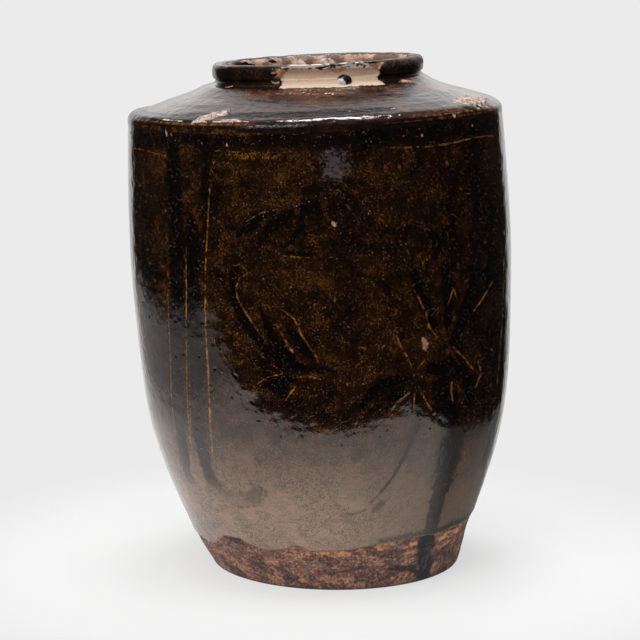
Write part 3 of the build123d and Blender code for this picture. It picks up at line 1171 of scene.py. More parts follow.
@dataclass
class RingWork:
    """A ring-shaped piece, raised ring by ring from a circle and then refined on its outside.

    Args:
        name: the piece's name.
        skin: the surface that its outside follows.
        stretch: how much of the outline it covers.
        inside: stations of its hidden side, in order from the outside's end back to its start.
        columns: how many sides the first circle has.
        cuts: how many cuts each outer face gets along each side.
        nearly: how close to an end a vertex counts as on it, in millimetres.
    """

    name: str
    skin: Skin
    stretch: Stretch
    inside: tuple[Station, ...]
    columns: int = 84
    cuts: int = 12
    nearly: float = 0.01
    piece: bpy.types.Object = field(init=False)

    def raise_rings(self) -> int:
        """Raises the closed ring from a circle.

        Returns:
            How many of its faces are on the outside.
        """
        all_off()
        outside = [Station(*ring) for ring in self.stretch.rings]
        last = outside[0]
        bpy.ops.mesh.primitive_circle_add(
            vertices=self.columns, radius=last.radius * MM, location=(0, 0, last.height * MM))
        self.piece = named(self.name)
        bpy.ops.object.transform_apply(location=True, rotation=True, scale=True)
        bpy.ops.object.mode_set(mode="EDIT")
        bpy.ops.mesh.select_mode(type="EDGE")
        bpy.ops.mesh.select_all(action="SELECT")
        for station in outside[1:] + list(self.inside):
            rise = (station.height - last.height) * MM
            grow = station.radius / last.radius
            bpy.ops.mesh.extrude_region_move(TRANSFORM_OT_translate={"value": (0, 0, rise)})
            bpy.ops.transform.resize(value=(grow, grow, 1), center_override=(0, 0, station.height * MM))
            last = station
        bpy.ops.mesh.select_all(action="DESELECT")
        bpy.ops.mesh.select_non_manifold()
        bpy.ops.mesh.bridge_edge_loops()
        bpy.ops.mesh.select_all(action="SELECT")
        bpy.ops.mesh.normals_make_consistent(inside=False)
        return self.columns * (len(outside) - 1)

    def refine(self, outer_faces: int) -> np.ndarray:
        """Subdivides the outer faces.

        Args:
            outer_faces: how many of the first faces are on the outside.

        Returns:
            Which vertices are on the outside.
        """
        bpy.ops.mesh.select_mode(type="FACE")
        bpy.ops.mesh.select_all(action="DESELECT")
        net = bmesh.from_edit_mesh(self.piece.data)
        net.faces.index_update()
        for face in net.faces:
            face.select_set(face.index < outer_faces)
        bmesh.update_edit_mesh(self.piece.data)
        bpy.ops.mesh.subdivide(number_cuts=self.cuts)
        bpy.ops.object.mode_set(mode="OBJECT")
        chosen = np.empty(len(self.piece.data.vertices), bool)
        self.piece.data.vertices.foreach_get("select", chosen)
        return chosen

    def sculpt(self, outer: np.ndarray) -> None:
        """Moves the outer vertices onto the skin, leans the rest, and paints the strokes.

        Args:
            outer: which vertices are on the outside.
        """
        mesh = self.piece.data
        x, y, height = (vertex_array(mesh) / MM).T
        angle = np.degrees(np.arctan2(x, -y))
        side = 360 / self.columns
        from_middle = np.radians(angle % side - side / 2)
        radius = np.hypot(x, y) * np.cos(from_middle) / math.cos(math.radians(side / 2))
        ring = np.stack((radius, height), axis=1)
        final = self.skin.hidden(angle, ring)
        angle = angle[outer]
        along = self.stretch.locate(ring[outer])
        final[outer] = self.skin.place(angle, along)
        strokes = np.zeros((len(final), 4))
        strokes[outer] = self.skin.paint(self.skin.spots(angle, along))
        layer = mesh.attributes.new("strokes", "FLOAT_COLOR", "POINT")
        layer.data.foreach_set("color", strokes.astype(np.float32).ravel())
        move_vertices(mesh, final)
        bpy.ops.object.shade_smooth()
        first, last = self.stretch.along[[0, -1]]
        rim = (along < first + self.nearly) | (along > last - self.nearly)
        facing = np.zeros((len(final), 3))
        facing[np.flatnonzero(outer)[rim]] = self.skin.facing(angle[rim], along[rim])
        mesh.normals_split_custom_set_from_vertices(facing.tolist())

    def build(self) -> bpy.types.Object:
        """Makes the piece and returns it."""
        self.sculpt(self.refine(self.raise_rings()))
        return self.piece


# Materials
class Wire:
    """One output of a node, for sums with numbers and with other outputs."""

    def __init__(self, bench: "NodeBench", socket: bpy.types.NodeSocket) -> None:
        """Keeps the output and the bench that it belongs to."""
        self.bench = bench
        self.socket = socket

    def joined(self, operation: str, first: object, second: object) -> "Wire":
        """One arithmetic operation on two values."""
        return self.bench.wire("ShaderNodeMath", 0, {0: first, 1: second}, operation=operation)

    def __add__(self, other: object) -> "Wire":
        """The sum of both."""
        return self.joined("ADD", self, other)

    def __sub__(self, other: object) -> "Wire":
        """This less the other."""
        return self.joined("SUBTRACT", self, other)

    def __rsub__(self, other: object) -> "Wire":
        """A number less this."""
        return self.joined("SUBTRACT", other, self)

    def __mul__(self, other: object) -> "Wire":
        """The product of both."""
        return self.joined("MULTIPLY", self, other)

    __rmul__ = __mul__

    def most(self, other: object) -> "Wire":
        """The greater of both."""
        return self.joined("MAXIMUM", self, other)

    def step(self, low: float, high: float, to_low: float = 0.0, to_high: float = 1.0) -> "Wire":
        """A smooth step between two bounds.

        Args:
            low: the value where the step starts.
            high: the value where it ends.
            to_low: the result at its start.
            to_high: the result at its end.

        Returns:
            The stepped value.
        """
        bounds = {"Value": self, "From Min": low, "From Max": high, "To Min": to_low, "To Max": to_high}
        return self.bench.wire("ShaderNodeMapRange", "Result", bounds, interpolation_type="SMOOTHSTEP")


class NodeBench:
    """The nodes of a material or a world, laid out as they are added."""

    def __init__(self, owner: bpy.types.Material | bpy.types.World, coordinates: str = "Object") -> None:
        """Opens the nodes.

        Args:
            owner: the material or the world.
            coordinates: the texture coordinates that its patterns use.
        """
        self.owner = owner
        owner.use_nodes = True
        self.tree = owner.node_tree
        self.shader = self.tree.nodes.get("Principled BSDF")
        self.place = self.wire("ShaderNodeTexCoord", coordinates, {})

    def add(self, kind: str, inputs: dict[str | int, object], **settings: object) -> bpy.types.Node:
        """Adds a node.

        Args:
            kind: the node's type.
            inputs: what its inputs, by name or number, are fed.
            settings: its own settings.

        Returns:
            The node.
        """
        node = self.tree.nodes.new(kind)
        node.location = (-220 * (len(self.tree.nodes) % 9) - 220, 160 * (len(self.tree.nodes) // 9))
        for key, value in settings.items():
            setattr(node, key, value)
        for key, value in inputs.items():
            self.feed(node.inputs[key], value)
        return node

    def wire(self, kind: str, output: str | int, inputs: dict[str | int, object], **settings: object) -> Wire:
        """Adds a node and gives one of its outputs."""
        return Wire(self, self.add(kind, inputs, **settings).outputs[output])

    def wires(self, kind: str, inputs: dict[str | int, object], **settings: object) -> list[Wire]:
        """Adds a node and gives all its outputs, in their order."""
        return [Wire(self, socket) for socket in self.add(kind, inputs, **settings).outputs]

    def feed(self, socket: bpy.types.NodeSocket, value: object) -> None:
        """Links a socket to another node's output, or sets it.

        Args:
            socket: the socket.
            value: the output, number, colour or direction.
        """
        if isinstance(value, Wire):
            self.tree.links.new(value.socket, socket)
        elif isinstance(value, tuple):
            socket.default_value = (*value, 1)[:len(socket.default_value)]
        else:
            socket.default_value = value

    def noise(self, size: float, detail: float = 3.0, rough: float = 0.55,
              stretch: tuple[float, float, float] = (1, 1, 1)) -> Wire:
        """Adds noise.

        Args:
            size: about how large its features are, in millimetres.
            detail: how many finer layers it has.
            rough: how strong those are.
            stretch: how much longer its features are along each direction.

        Returns:
            The noise, from 0 to 1.
        """
        shrink = tuple(1 / share for share in stretch)
        place = self.wire("ShaderNodeMapping", "Vector", {"Vector": self.place, "Scale": shrink})
        inputs = {"Vector": place, "Scale": 1 / (size * MM), "Detail": detail, "Roughness": rough}
        return self.wire("ShaderNodeTexNoise", "Fac", inputs)

    def layers(self, ground: object, *coats: tuple[Wire, object]) -> Wire:
        """Lays colours over one another.

        Args:
            ground: the lowest colour.
            coats: how much each coat covers, and its colour.

        Returns:
            The colour that comes out.
        """
        for cover, coat in coats:
            ground = self.wire("ShaderNodeMix", 2, {"Factor": cover, 6: ground, 7: coat}, data_type="RGBA")
        return ground

    def dots(self, cell: float, low: float, high: float) -> Wire:
        """Small scattered dots: 1 in a dot and 0 outside it, with the bounds as shares of the cell's size."""
        inputs = {"Vector": self.place, "Scale": 1 / (cell * MM)}
        return self.wire("ShaderNodeTexVoronoi", "Distance", inputs).step(low, high, 1.0, 0.0)

    def strokes(self) -> list[Wire]:
        """Reads the painted strokes.

        Returns:
            The four channels.
        """
        node = self.add("ShaderNodeAttribute", {}, attribute_name="strokes")
        painted = self.wires("ShaderNodeSeparateColor", {"Color": Wire(self, node.outputs["Color"])})
        return painted + [Wire(self, node.outputs["Alpha"])]

    def parts(self) -> list[Wire]:
        """The three parts of the place."""
        return self.wires("ShaderNodeSeparateXYZ", {"Vector": self.place})

    def near(self, place: tuple[float, float, float], reach: float) -> Wire:
        """A fade from 1 at a place, in metres, to 0 at a reach, in millimetres."""
        gap = self.wire("ShaderNodeVectorMath", "Value", {0: self.place, 1: place}, operation="DISTANCE")
        return gap.step(0.0, reach * MM, 1.0, 0.0)

    def rays(self) -> tuple[Wire, Wire, Wire]:
        """Tells the rays apart.

        Returns:
            Whether a ray comes from the camera, from gloss, and from gloss or glass.
        """
        node = self.add("ShaderNodeLightPath", {})
        camera, glossy, through = (
            Wire(self, node.outputs[f"Is {kind} Ray"]) for kind in ("Camera", "Glossy", "Transmission"))
        return camera, glossy, glossy.most(through)

    def bumps(self, *layers: tuple[Wire, float, float]) -> None:
        """Puts layers of fine bumps on the shader.

        Args:
            layers: the value, strength and height in millimetres of each.
        """
        lower = {}
        for value, strength, height in layers:
            inputs = {"Strength": strength, "Distance": height * MM, "Height": value, **lower}
            lower = {"Normal": self.wire("ShaderNodeBump", "Normal", inputs)}
        self.feed(self.shader.inputs["Normal"], lower["Normal"])

    def finish(self, colour: object, roughness: object, ior: float = 1.5,
               sheen: tuple[float, float, float] = (1, 1, 1)) -> bpy.types.Material:
        """Sets the shader.

        Args:
            colour: its colour.
            roughness: its roughness.
            ior: its index of refraction.
            sheen: the tint of its gloss.

        Returns:
            The material.
        """
        values = {"Base Color": colour, "Roughness": roughness, "IOR": ior, "Specular Tint": sheen}
        for name, value in values.items():
            self.feed(self.shader.inputs[name], value)
        return self.owner


Colour = tuple[float, float, float]


@dataclass(frozen=True)
class DarkGlaze:
    """Thick brown-black glaze with amber speckle, which the strokes are painted under.

    Args:
        name: the material's name.
        deep: colour where it is thickest.
        brown: its usual colour.
        amber: colour of its speckle and of the cut lines.
        bright: the brightest amber.
        rust: colour where it is thin.
        black: colour of the brushed strokes.
        clay: colour of bare places, and of pale dots that paint glints.
        haze: dull patch under the shoulder.
        haze_place: where the dull patch is, in metres.
        thin_glaze_and_reflection: colour low on the wall, where it is thin and dull, made paler as a painted
            reflection of the pale floor.
        stain: darker colour there.
        pink: pinkish patches there.
        right_shade: darker olive colour low on the right, a painted shade where the floor's reflection is
            weaker.
        sheen: tint of its gloss.
        ior: index of refraction, high for a glaze with ash in it.
    """

    name: str = "dark_glaze"
    deep: Colour = (0.0030, 0.0013, 0.0009)
    brown: Colour = (0.0135, 0.0053, 0.0020)
    amber: Colour = (0.070, 0.027, 0.0042)
    bright: Colour = (0.36, 0.150, 0.024)
    rust: Colour = (0.15, 0.045, 0.012)
    black: Colour = (0.0018, 0.0014, 0.0014)
    clay: Colour = (0.45, 0.235, 0.160)
    haze: Colour = (0.120, 0.095, 0.098)
    haze_place: tuple[float, float, float] = (0.002, -0.1695, 0.380)
    thin_glaze_and_reflection: Colour = (0.300, 0.205, 0.142)
    stain: Colour = (0.115, 0.076, 0.050)
    pink: Colour = (0.340, 0.205, 0.155)
    right_shade: Colour = (0.090, 0.062, 0.038)
    sheen: Colour = (1.0, 0.87, 0.79)
    ior: float = 1.74

    def build(self) -> bpy.types.Material:
        """Makes the material.

        Returns:
            The material.
        """
        bench = NodeBench(bpy.data.materials.new(self.name))
        cut_line, black, worn, chip = bench.strokes()
        across, _, height = bench.parts()
        fine, speck = bench.noise(1.1, 2, 0.5), bench.noise(2.4, 4, 0.65)
        cloud, mottle = bench.noise(30, 4, 0.6), bench.noise(8, 5, 0.65)
        grainy = 0.9 * (speck - 0.5) + 0.9 * (fine - 0.5)
        low = height.step(0.020, 0.165, 1.0, 0.0)
        weave = 0.2 * mottle + 0.5 * fine + 0.3 * speck
        # Low on the wall: thin, dull glaze, whose colour is made paler as a painted reflection of the pale
        # floor
        thin_glaze_and_reflection = bench.layers(
            self.stain,
            (weave.step(0.42, 0.56), self.thin_glaze_and_reflection),
            (cloud.step(0.50, 0.64, 0.0, 0.6), self.pink),
            (bench.noise(3, 4, 0.6, (7, 7, 1)).step(0.54, 0.70, 0.0, 0.5), self.stain),
            # Painted shade: low on the right the colour darkens, where the floor's reflection is weaker
            (across.step(-0.01, 0.10, 0.0, 0.8), self.right_shade))
        tone = 0.26 * cloud + 0.22 * mottle + 0.20 * speck + 0.32 * fine
        orange = bench.noise(13, 4, 0.65) + 0.4 * fine
        hazy = bench.near(self.haze_place, 30) + 1.5 * mottle + 2.0 * speck
        black = black * low.step(0.12, 0.65, 1.0, 0.32)
        gold = bench.layers(self.amber, ((mottle + 0.5 * fine).step(0.66, 0.90), self.bright))
        dots = bench.dots(7.5, 0.045, 0.085)
        colour = bench.layers(
            self.deep,
            (tone.step(0.44, 0.53), self.brown),
            (tone.step(0.51, 0.62), self.amber),
            (orange.step(0.74, 0.95, 0.0, 0.32), self.rust),
            (hazy.step(2.20, 2.95, 0.0, 0.62), self.haze),
            (low * (2 - low), thin_glaze_and_reflection),
            ((black + 1.1 * grainy).step(0.12, 0.85, 0.0, 0.95), self.black),
            ((worn + grainy).step(0.25, 0.9), self.rust),
            ((cut_line + grainy).step(0.25, 0.95), gold),
            # Painted glints: fine pale dots for light caught by tiny pits; the larger pale dots below are
            # pinholes where clay shows, and also paint glints
            (bench.dots(2.2, 0.09, 0.24) * mottle.step(0.44, 0.60, 0.06, 0.42), self.clay),
            (dots * mottle.step(0.45, 0.60, 0.0, 0.75), self.clay),
            ((chip + grainy).step(0.35, 0.65), self.clay))
        rough = (chip + 0.3 * speck).step(0.1, 0.9, 0.07, 0.6) + 0.12 * low
        gloss = bench.noise(11, 5, 0.7).step(0.36, 0.66, 0.42, 0.54).most(low.step(0.1, 0.5, 0.0, 0.5))
        bench.feed(bench.shader.inputs["Specular IOR Level"], gloss)
        bench.bumps((bench.noise(7.0, 3, 0.5), 0.5, 0.40), (fine, 0.35, 0.08), (dots, 0.7, 0.40))
        return bench.finish(colour, rough, self.ior, self.sheen)


@dataclass(frozen=True)
class RunGlaze:
    """Near-black glaze of the run over the foot and of the bead.

    Args:
        name: the material's name.
        deep: its colour.
        brown: colour where it is thinner.
        painted_highlight: colour of a painted highlight on it, if it has one.
        highlight_place: where that painted highlight is, in metres.
        highlight_reach: how far that painted highlight reaches, in millimetres.
        ior: index of refraction.
    """

    name: str = "run_glaze"
    deep: Colour = (0.0060, 0.0056, 0.0066)
    brown: Colour = (0.026, 0.018, 0.015)
    painted_highlight: Colour | None = None
    highlight_place: tuple[float, float, float] = (0, 0, 0)
    highlight_reach: float = 6.0
    ior: float = 1.4

    def build(self) -> bpy.types.Material:
        """Makes the material.

        Returns:
            The material.
        """
        bench = NodeBench(bpy.data.materials.new(self.name))
        speck, patch = bench.noise(2.0, 4, 0.65), bench.noise(9, 4, 0.6)
        colour = bench.layers(self.deep, ((0.6 * patch + 0.4 * speck).step(0.50, 0.66), self.brown))
        bench.bumps((patch, 0.3, 0.3), (speck, 0.25, 0.08))
        # A painted highlight: a pale patch where light would catch the glaze
        if self.painted_highlight is not None:
            highlight_spots = bench.near(self.highlight_place, self.highlight_reach) + 0.6 * speck
            colour = bench.layers(colour, (highlight_spots.step(0.62, 0.78), self.painted_highlight))
        return bench.finish(colour, speck.step(0.4, 0.7, 0.14, 0.35), self.ior)


@dataclass(frozen=True)
class FootClay:
    """Bare fired clay of the foot: terracotta with grey-brown stains, wiped round by hand.

    Args:
        name: the material's name.
        base: its usual colour.
        pink: colour of its paler places.
        warm: colour of the brightest places.
        stain: colour of the darkest stains, and of the painted contact shadow along the lower edge.
        slip: colour of grey smears.
        run: colour of smeared glaze.
    """

    name: str = "foot_clay"
    base: Colour = (0.178, 0.078, 0.053)
    pink: Colour = (0.455, 0.230, 0.150)
    warm: Colour = (0.600, 0.265, 0.120)
    stain: Colour = (0.038, 0.026, 0.026)
    slip: Colour = (0.190, 0.135, 0.125)
    run: Colour = (0.014, 0.013, 0.016)

    def build(self) -> bpy.types.Material:
        """Makes the material.

        Returns:
            The material.
        """
        bench = NodeBench(bpy.data.materials.new(self.name))
        smear, black, orange, _ = bench.strokes()
        patch, wipe = bench.noise(17, 5, 0.65, (1.4, 1.4, 0.8)), bench.noise(5, 5, 0.7, (4, 4, 1))
        speck, grit = bench.noise(2.6, 5, 0.72), bench.noise(1.1, 4, 0.7)
        tone = 0.45 * patch + 0.55 * speck
        grainy = 1.8 * (speck - 0.5) + 1.2 * (grit - 0.5)
        warmth = bench.noise(11, 4, 0.6) + 0.30 * orange + 0.35 * grainy
        # Painted contact shadow: the clay darkens within a few millimetres of the floor
        contact_shadow = bench.parts()[2] + 0.006 * patch
        colour = bench.layers(
            self.stain,
            (tone.step(0.43, 0.49), self.base),
            (tone.step(0.50, 0.57), self.pink),
            ((wipe + 0.5 * grit).step(0.62, 0.74, 0.75, 0.0), self.stain),
            (warmth.step(0.56, 0.84), self.warm),
            ((smear + grainy).step(0.3, 1.0, 0.0, 0.8), self.slip),
            ((black + grainy).step(0.25, 0.95), self.run),
            (contact_shadow.step(0.0035, 0.0065, 0.85, 0.0), self.stain))
        bench.bumps((patch, 0.5, 0.8), (wipe, 0.7, 0.6), (speck, 0.6, 0.6), (grit, 0.7, 0.3))
        return bench.finish(colour, grit.step(0.3, 0.7, 0.55, 0.9))


@dataclass(frozen=True)
class BuffClay:
    """Bare clay of the inside and of the hidden courses.

    Args:
        name: the material's name.
        light: its palest colour.
        dark: its darkest colour.
    """

    name: str = "buff_clay"
    light: Colour = (0.40, 0.25, 0.17)
    dark: Colour = (0.17, 0.085, 0.055)

    def build(self) -> bpy.types.Material:
        """Makes the material.

        Returns:
            The material.
        """
        bench = NodeBench(bpy.data.materials.new(self.name))
        ring, grit = bench.noise(6, 3, 0.6, (9, 9, 1)), bench.noise(1.4, 3, 0.6)
        body = 0.6 * bench.noise(38, 4, 0.6) + 0.4 * ring
        bench.bumps((ring, 0.6, 0.8), (grit, 0.4, 0.2))
        colour = bench.layers(self.dark, (body.step(0.38, 0.62), self.light))
        return bench.finish(colour, grit.step(0.3, 0.7, 0.6, 0.85))


@dataclass(frozen=True)
class ShoulderGlaze:
    """The shoulder's glaze: brushed round in streaks, duller than the wall's.

    Args:
        name: the material's name.
        deep: colour where it is thickest.
        brown: its usual colour.
        ash: colour of its pale streaks.
        rust: colour where it is thin.
        black: colour of dark marks, and of the bands of painted shade along the edge.
        clay: colour of bare places.
        sheen: tint of its gloss.
        ior: index of refraction.
    """

    name: str = "shoulder_glaze"
    deep: Colour = (0.010, 0.0045, 0.0034)
    brown: Colour = (0.034, 0.013, 0.006)
    ash: Colour = (0.11, 0.060, 0.034)
    rust: Colour = (0.30, 0.105, 0.028)
    black: Colour = (0.0045, 0.0038, 0.0042)
    clay: Colour = (0.45, 0.35, 0.27)
    sheen: Colour = (1.0, 0.91, 0.94)
    ior: float = 1.55

    def build(self) -> bpy.types.Material:
        """Makes the material.

        Returns:
            The material.
        """
        bench = NodeBench(bpy.data.materials.new(self.name))
        _, black, worn, chip = bench.strokes()
        streak, speck = bench.noise(4.0, 4, 0.65, (9, 9, 1)), bench.noise(2.2, 4, 0.65)
        tone = 0.5 * streak + 0.5 * bench.noise(30, 4, 0.6)
        fleck = tone + 0.5 * speck
        grainy = 0.9 * (speck - 0.5) + 0.9 * (bench.noise(1.3, 3, 0.6) - 0.5)
        dark = black + grainy
        chipped = (chip + grainy).step(0.35, 0.6)
        colour = bench.layers(
            self.deep,
            (tone.step(0.42, 0.58), self.brown),
            (fleck.step(0.80, 0.95), self.ash),
            (dark.step(0.2, 0.8), self.black),
            ((worn + 0.5 * grainy).step(0.20, 0.90), self.rust),
            (chipped, self.clay))
        bench.bumps((streak, 0.65, 0.8), (bench.noise(7, 3, 0.5), 0.50, 0.6), (speck, 0.35, 0.14))
        # The gloss is taken away under the dark marks and under the bands of painted shade
        bench.feed(bench.shader.inputs["Specular IOR Level"], dark.step(0.2, 0.8, 0.5, 0.06))
        return bench.finish(colour, fleck.step(0.6, 1.0, 0.10, 0.24) + 0.5 * chipped, self.ior, self.sheen)


@dataclass(frozen=True)
class RimGlaze:
    """Near-black glaze on the neck and rim, with bare clay where the lip is broken and inside the neck.

    Args:
        name: the material's name.
        deep: colour of the glaze.
        brown: its colour where it is thinner.
        rust: colour at the ragged edges.
        worn_crest: colour along the worn top of the lip.
        clay: colour of the broken clay.
        shaded_upper_clay: darker colour near the top of the break, a painted shade.
        pale: its colour at the top of the lip, partly pale clay and partly a painted highlight, and in patches
            inside.
        grain: darker colour in the broken clay.
        inner: colour of the bare inside.
        pink: paler patches of the inside.
        black: colour of dark hollows.
    """

    name: str = "rim_glaze"
    deep: Colour = (0.0070, 0.0042, 0.0034)
    brown: Colour = (0.036, 0.016, 0.008)
    rust: Colour = (0.38, 0.175, 0.090)
    worn_crest: Colour = (0.070, 0.045, 0.036)
    clay: Colour = (0.50, 0.365, 0.265)
    shaded_upper_clay: Colour = (0.34, 0.195, 0.125)
    pale: Colour = (0.62, 0.53, 0.49)
    grain: Colour = (0.36, 0.220, 0.145)
    inner: Colour = (0.150, 0.078, 0.054)
    pink: Colour = (0.46, 0.300, 0.230)
    black: Colour = (0.006, 0.005, 0.006)

    def build(self) -> bpy.types.Material:
        """Makes the material.

        Returns:
            The material.
        """
        bench = NodeBench(bpy.data.materials.new(self.name))
        inside, black, worn, chip = bench.strokes()
        speck, blotch = bench.noise(1.8, 4, 0.7), bench.noise(14, 4, 0.6)
        ring, grit = bench.noise(2.5, 4, 0.6, (8, 8, 1)), bench.noise(0.9, 3, 0.6)
        ragged = 0.8 * (speck - 0.5)
        rise = bench.parts()[2] + 0.004 * ragged
        crest = rise.step(0.4530, 0.4585) * (blotch + ragged).step(0.40, 0.56, 0.3, 1.0)
        glaze = bench.layers(
            self.deep,
            ((0.35 * blotch + 0.65 * speck).step(0.50, 0.60), self.brown),
            (crest, self.worn_crest),
            ((worn + ragged).step(0.30, 0.8), self.rust))
        rusty = bench.layers(self.rust, (speck.step(0.42, 0.60), self.inner))
        body = bench.layers(
            self.grain,
            ((0.35 * ring + 0.65 * speck).step(0.34, 0.48, 0.25, 1.0), self.clay),
            # Painted shade: the broken clay darkens towards the top of the break
            (rise.step(0.4450, 0.4515, 0.0, 0.8), self.shaded_upper_clay),
            (bench.dots(2.0, 0.10, 0.22) * blotch.step(0.42, 0.56, 0.15, 0.8), self.inner),
            # The top of the break turns pale: partly pale clay, partly a painted highlight along what is left
            # of the crest
            (rise.step(0.4535, 0.4560), self.pale),
            ((worn + ragged).step(0.35, 0.85), rusty))
        bare_inside = bench.layers(
            self.inner,
            ((0.7 * blotch + 0.3 * speck).step(0.44, 0.60), self.pink),
            ((chip + ragged).step(0.3, 0.7), self.pale))
        chipped = (chip + ragged).step(0.40, 0.55)
        colour = bench.layers(
            glaze,
            (chipped, body),
            ((inside + ragged).step(0.35, 0.65), bare_inside),
            ((black + ragged).step(0.35, 0.7), self.black))
        dry = chipped.most(inside).most(0.6 * crest) * black.step(0.3, 0.7, 1.0, 0.1)
        bench.bumps((bench.noise(3.5, 3, 0.5), 0.35, 0.3), (speck, 0.4, 0.2), (grit, 0.35, 0.12))
        return bench.finish(colour, dry.step(0.1, 0.8, 0.22, 0.85))


@dataclass(frozen=True)
class KilnCrust:
    """Rough pale crust where another jar's wads stood in the kiln.

    Args:
        name: the material's name.
        light: its palest colour.
        brown: its usual colour.
        dark: its darkest colour.
    """

    name: str = "kiln_crust"
    light: Colour = (0.50, 0.41, 0.35)
    brown: Colour = (0.30, 0.215, 0.175)
    dark: Colour = (0.060, 0.036, 0.028)

    def build(self) -> bpy.types.Material:
        """Makes the material.

        Returns:
            The material.
        """
        bench = NodeBench(bpy.data.materials.new(self.name))
        lump, grit = bench.noise(4.5, 4, 0.65), bench.noise(1.2, 4, 0.7)
        tone = 0.5 * lump + 0.5 * grit
        colour = bench.layers(
            self.dark,
            (tone.step(0.43, 0.49), self.brown),
            (tone.step(0.48, 0.58), self.light))
        bench.bumps((lump, 0.6, 0.8), (grit, 0.6, 0.4))
        return bench.finish(colour, grit.step(0.3, 0.7, 0.6, 0.9))


# Sub-assemblies
def dress(piece: bpy.types.Object, finish: bpy.types.Material, slot: str, *nodes: str) -> None:
    """Gives a piece its finish and its place in the model.

    Args:
        piece: the piece.
        finish: its material.
        slot: not used.
        nodes: the CAD nodes that it stands for.
    """
    piece.data.materials.clear()
    piece.data.materials.append(finish)
    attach(piece, "root")
    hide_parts(*nodes)
    log.info("%s: %d faces", piece.name, len(piece.data.polygons))


@dataclass
class WallCoat:
    """The wall's glaze, in six rings that meet edge to edge.

    Args:
        bands: how many rings.
        rows: how many rows of faces each ring starts with.
        under: how far its hidden side is under its outside, in millimetres.
    """

    bands: int = 6
    rows: int = 5
    under: float = CLAY_UNDER + 0.4

    def build(self) -> list[bpy.types.Object]:
        """Makes the rings.

        Returns:
            The rings, from the lowest up.
        """
        levels = np.linspace(WHOLE_OUTLINE.at_height(COAT_FOOT), SHOULDER_ALONG, self.bands + 1)
        skin = WallSkin(WHOLE_OUTLINE)
        pieces = []
        for number, (low, high) in enumerate(zip(levels, levels[1:]), start=1):
            stretch = Stretch(WHOLE_OUTLINE, low, high, self.rows)
            inside = tuple(Station(radius - self.under, height) for radius, height in stretch.rings[[-1, 0]])
            pieces.append(RingWork(f"wall_coat_{number}", skin, stretch, inside).build())
        return pieces

    def dress(self, pieces: list[bpy.types.Object], glaze: bpy.types.Material) -> None:
        """Gives the rings their glaze."""
        for piece in pieces:
            dress(piece, glaze, "wall_glaze", "wall_glaze")


@dataclass
class Shoulder:
    """The shoulder's glaze, from the wall's upper edge to the groove of the neck.

    Args:
        rows: how many rows of faces it starts with.
        inside: radii and heights of its hidden side, from the neck out.
    """

    rows: int = 5
    inside: tuple[Station, ...] = (
        NECK_SEAT, Station(91.4, 439.2), Station(96.0, 436.4), Station(150, 419.2), Station(161.4, 414.8),
        Station(165.2, 411.4), Station(165.8, 407))

    def build(self) -> bpy.types.Object:
        """Makes the coat and returns it."""
        stretch = Stretch(WHOLE_OUTLINE, SHOULDER_ALONG, NECK_SEAM, self.rows)
        return RingWork("shoulder_coat", UpperSkin(WHOLE_OUTLINE), stretch, self.inside).build()

    def dress(self, piece: bpy.types.Object, glaze: bpy.types.Material) -> None:
        """Gives the coat its glaze."""
        dress(piece, glaze, "shoulder_glaze", "shoulder_glaze")


@dataclass
class NeckAndRim:
    """The neck, the rolled rim and their glaze, with the broken stretch of lip.

    Args:
        rows: how many rows of faces it starts with.
        inside: radii and heights of its hidden side, from the mouth's lower edge up.
    """

    rows: int = 6
    inside: tuple[Station, ...] = (Station(86.0, 431.5), NECK_SEAT)

    def build(self) -> bpy.types.Object:
        """Makes the ring and returns it."""
        stretch = Stretch(WHOLE_OUTLINE, NECK_SEAM, float(WHOLE_OUTLINE.along[-1]), self.rows)
        return RingWork("neck_and_rim", UpperSkin(WHOLE_OUTLINE), stretch, self.inside).build()

    def dress(self, piece: bpy.types.Object, glaze: bpy.types.Material) -> None:
        """Gives the ring its glaze."""
        dress(piece, glaze, "rim_glaze", "collar_glaze", "rim_roll", "neck_collar")


@dataclass
class Foot:
    """The bare foot course, from the floor to the seam that the glaze hides.

    Args:
        rows: how many rows of faces it starts with.
        inside: radii and heights of its hidden side, from the seam down.
    """

    rows: int = 5
    inside: tuple[Station, ...] = (
        Station(148.6, 96.0), Station(139.2, 87.0), Station(108.4, 14.0), Station(104.0, 14.0),
        Station(90.0, 0.0))

    def build(self) -> bpy.types.Object:
        """Makes the course and returns it."""
        floor, top = WHOLE_OUTLINE.at_height(0.0), WHOLE_OUTLINE.at_height(FootSkin.top)
        stretch = Stretch(WHOLE_OUTLINE, floor, top, self.rows)
        return RingWork("foot_course", FootSkin(WHOLE_OUTLINE), stretch, self.inside).build()

    def dress(self, piece: bpy.types.Object, clay: bpy.types.Material) -> None:
        """Gives the course its clay."""
        dress(piece, clay, "foot_clay", "foot_wall")


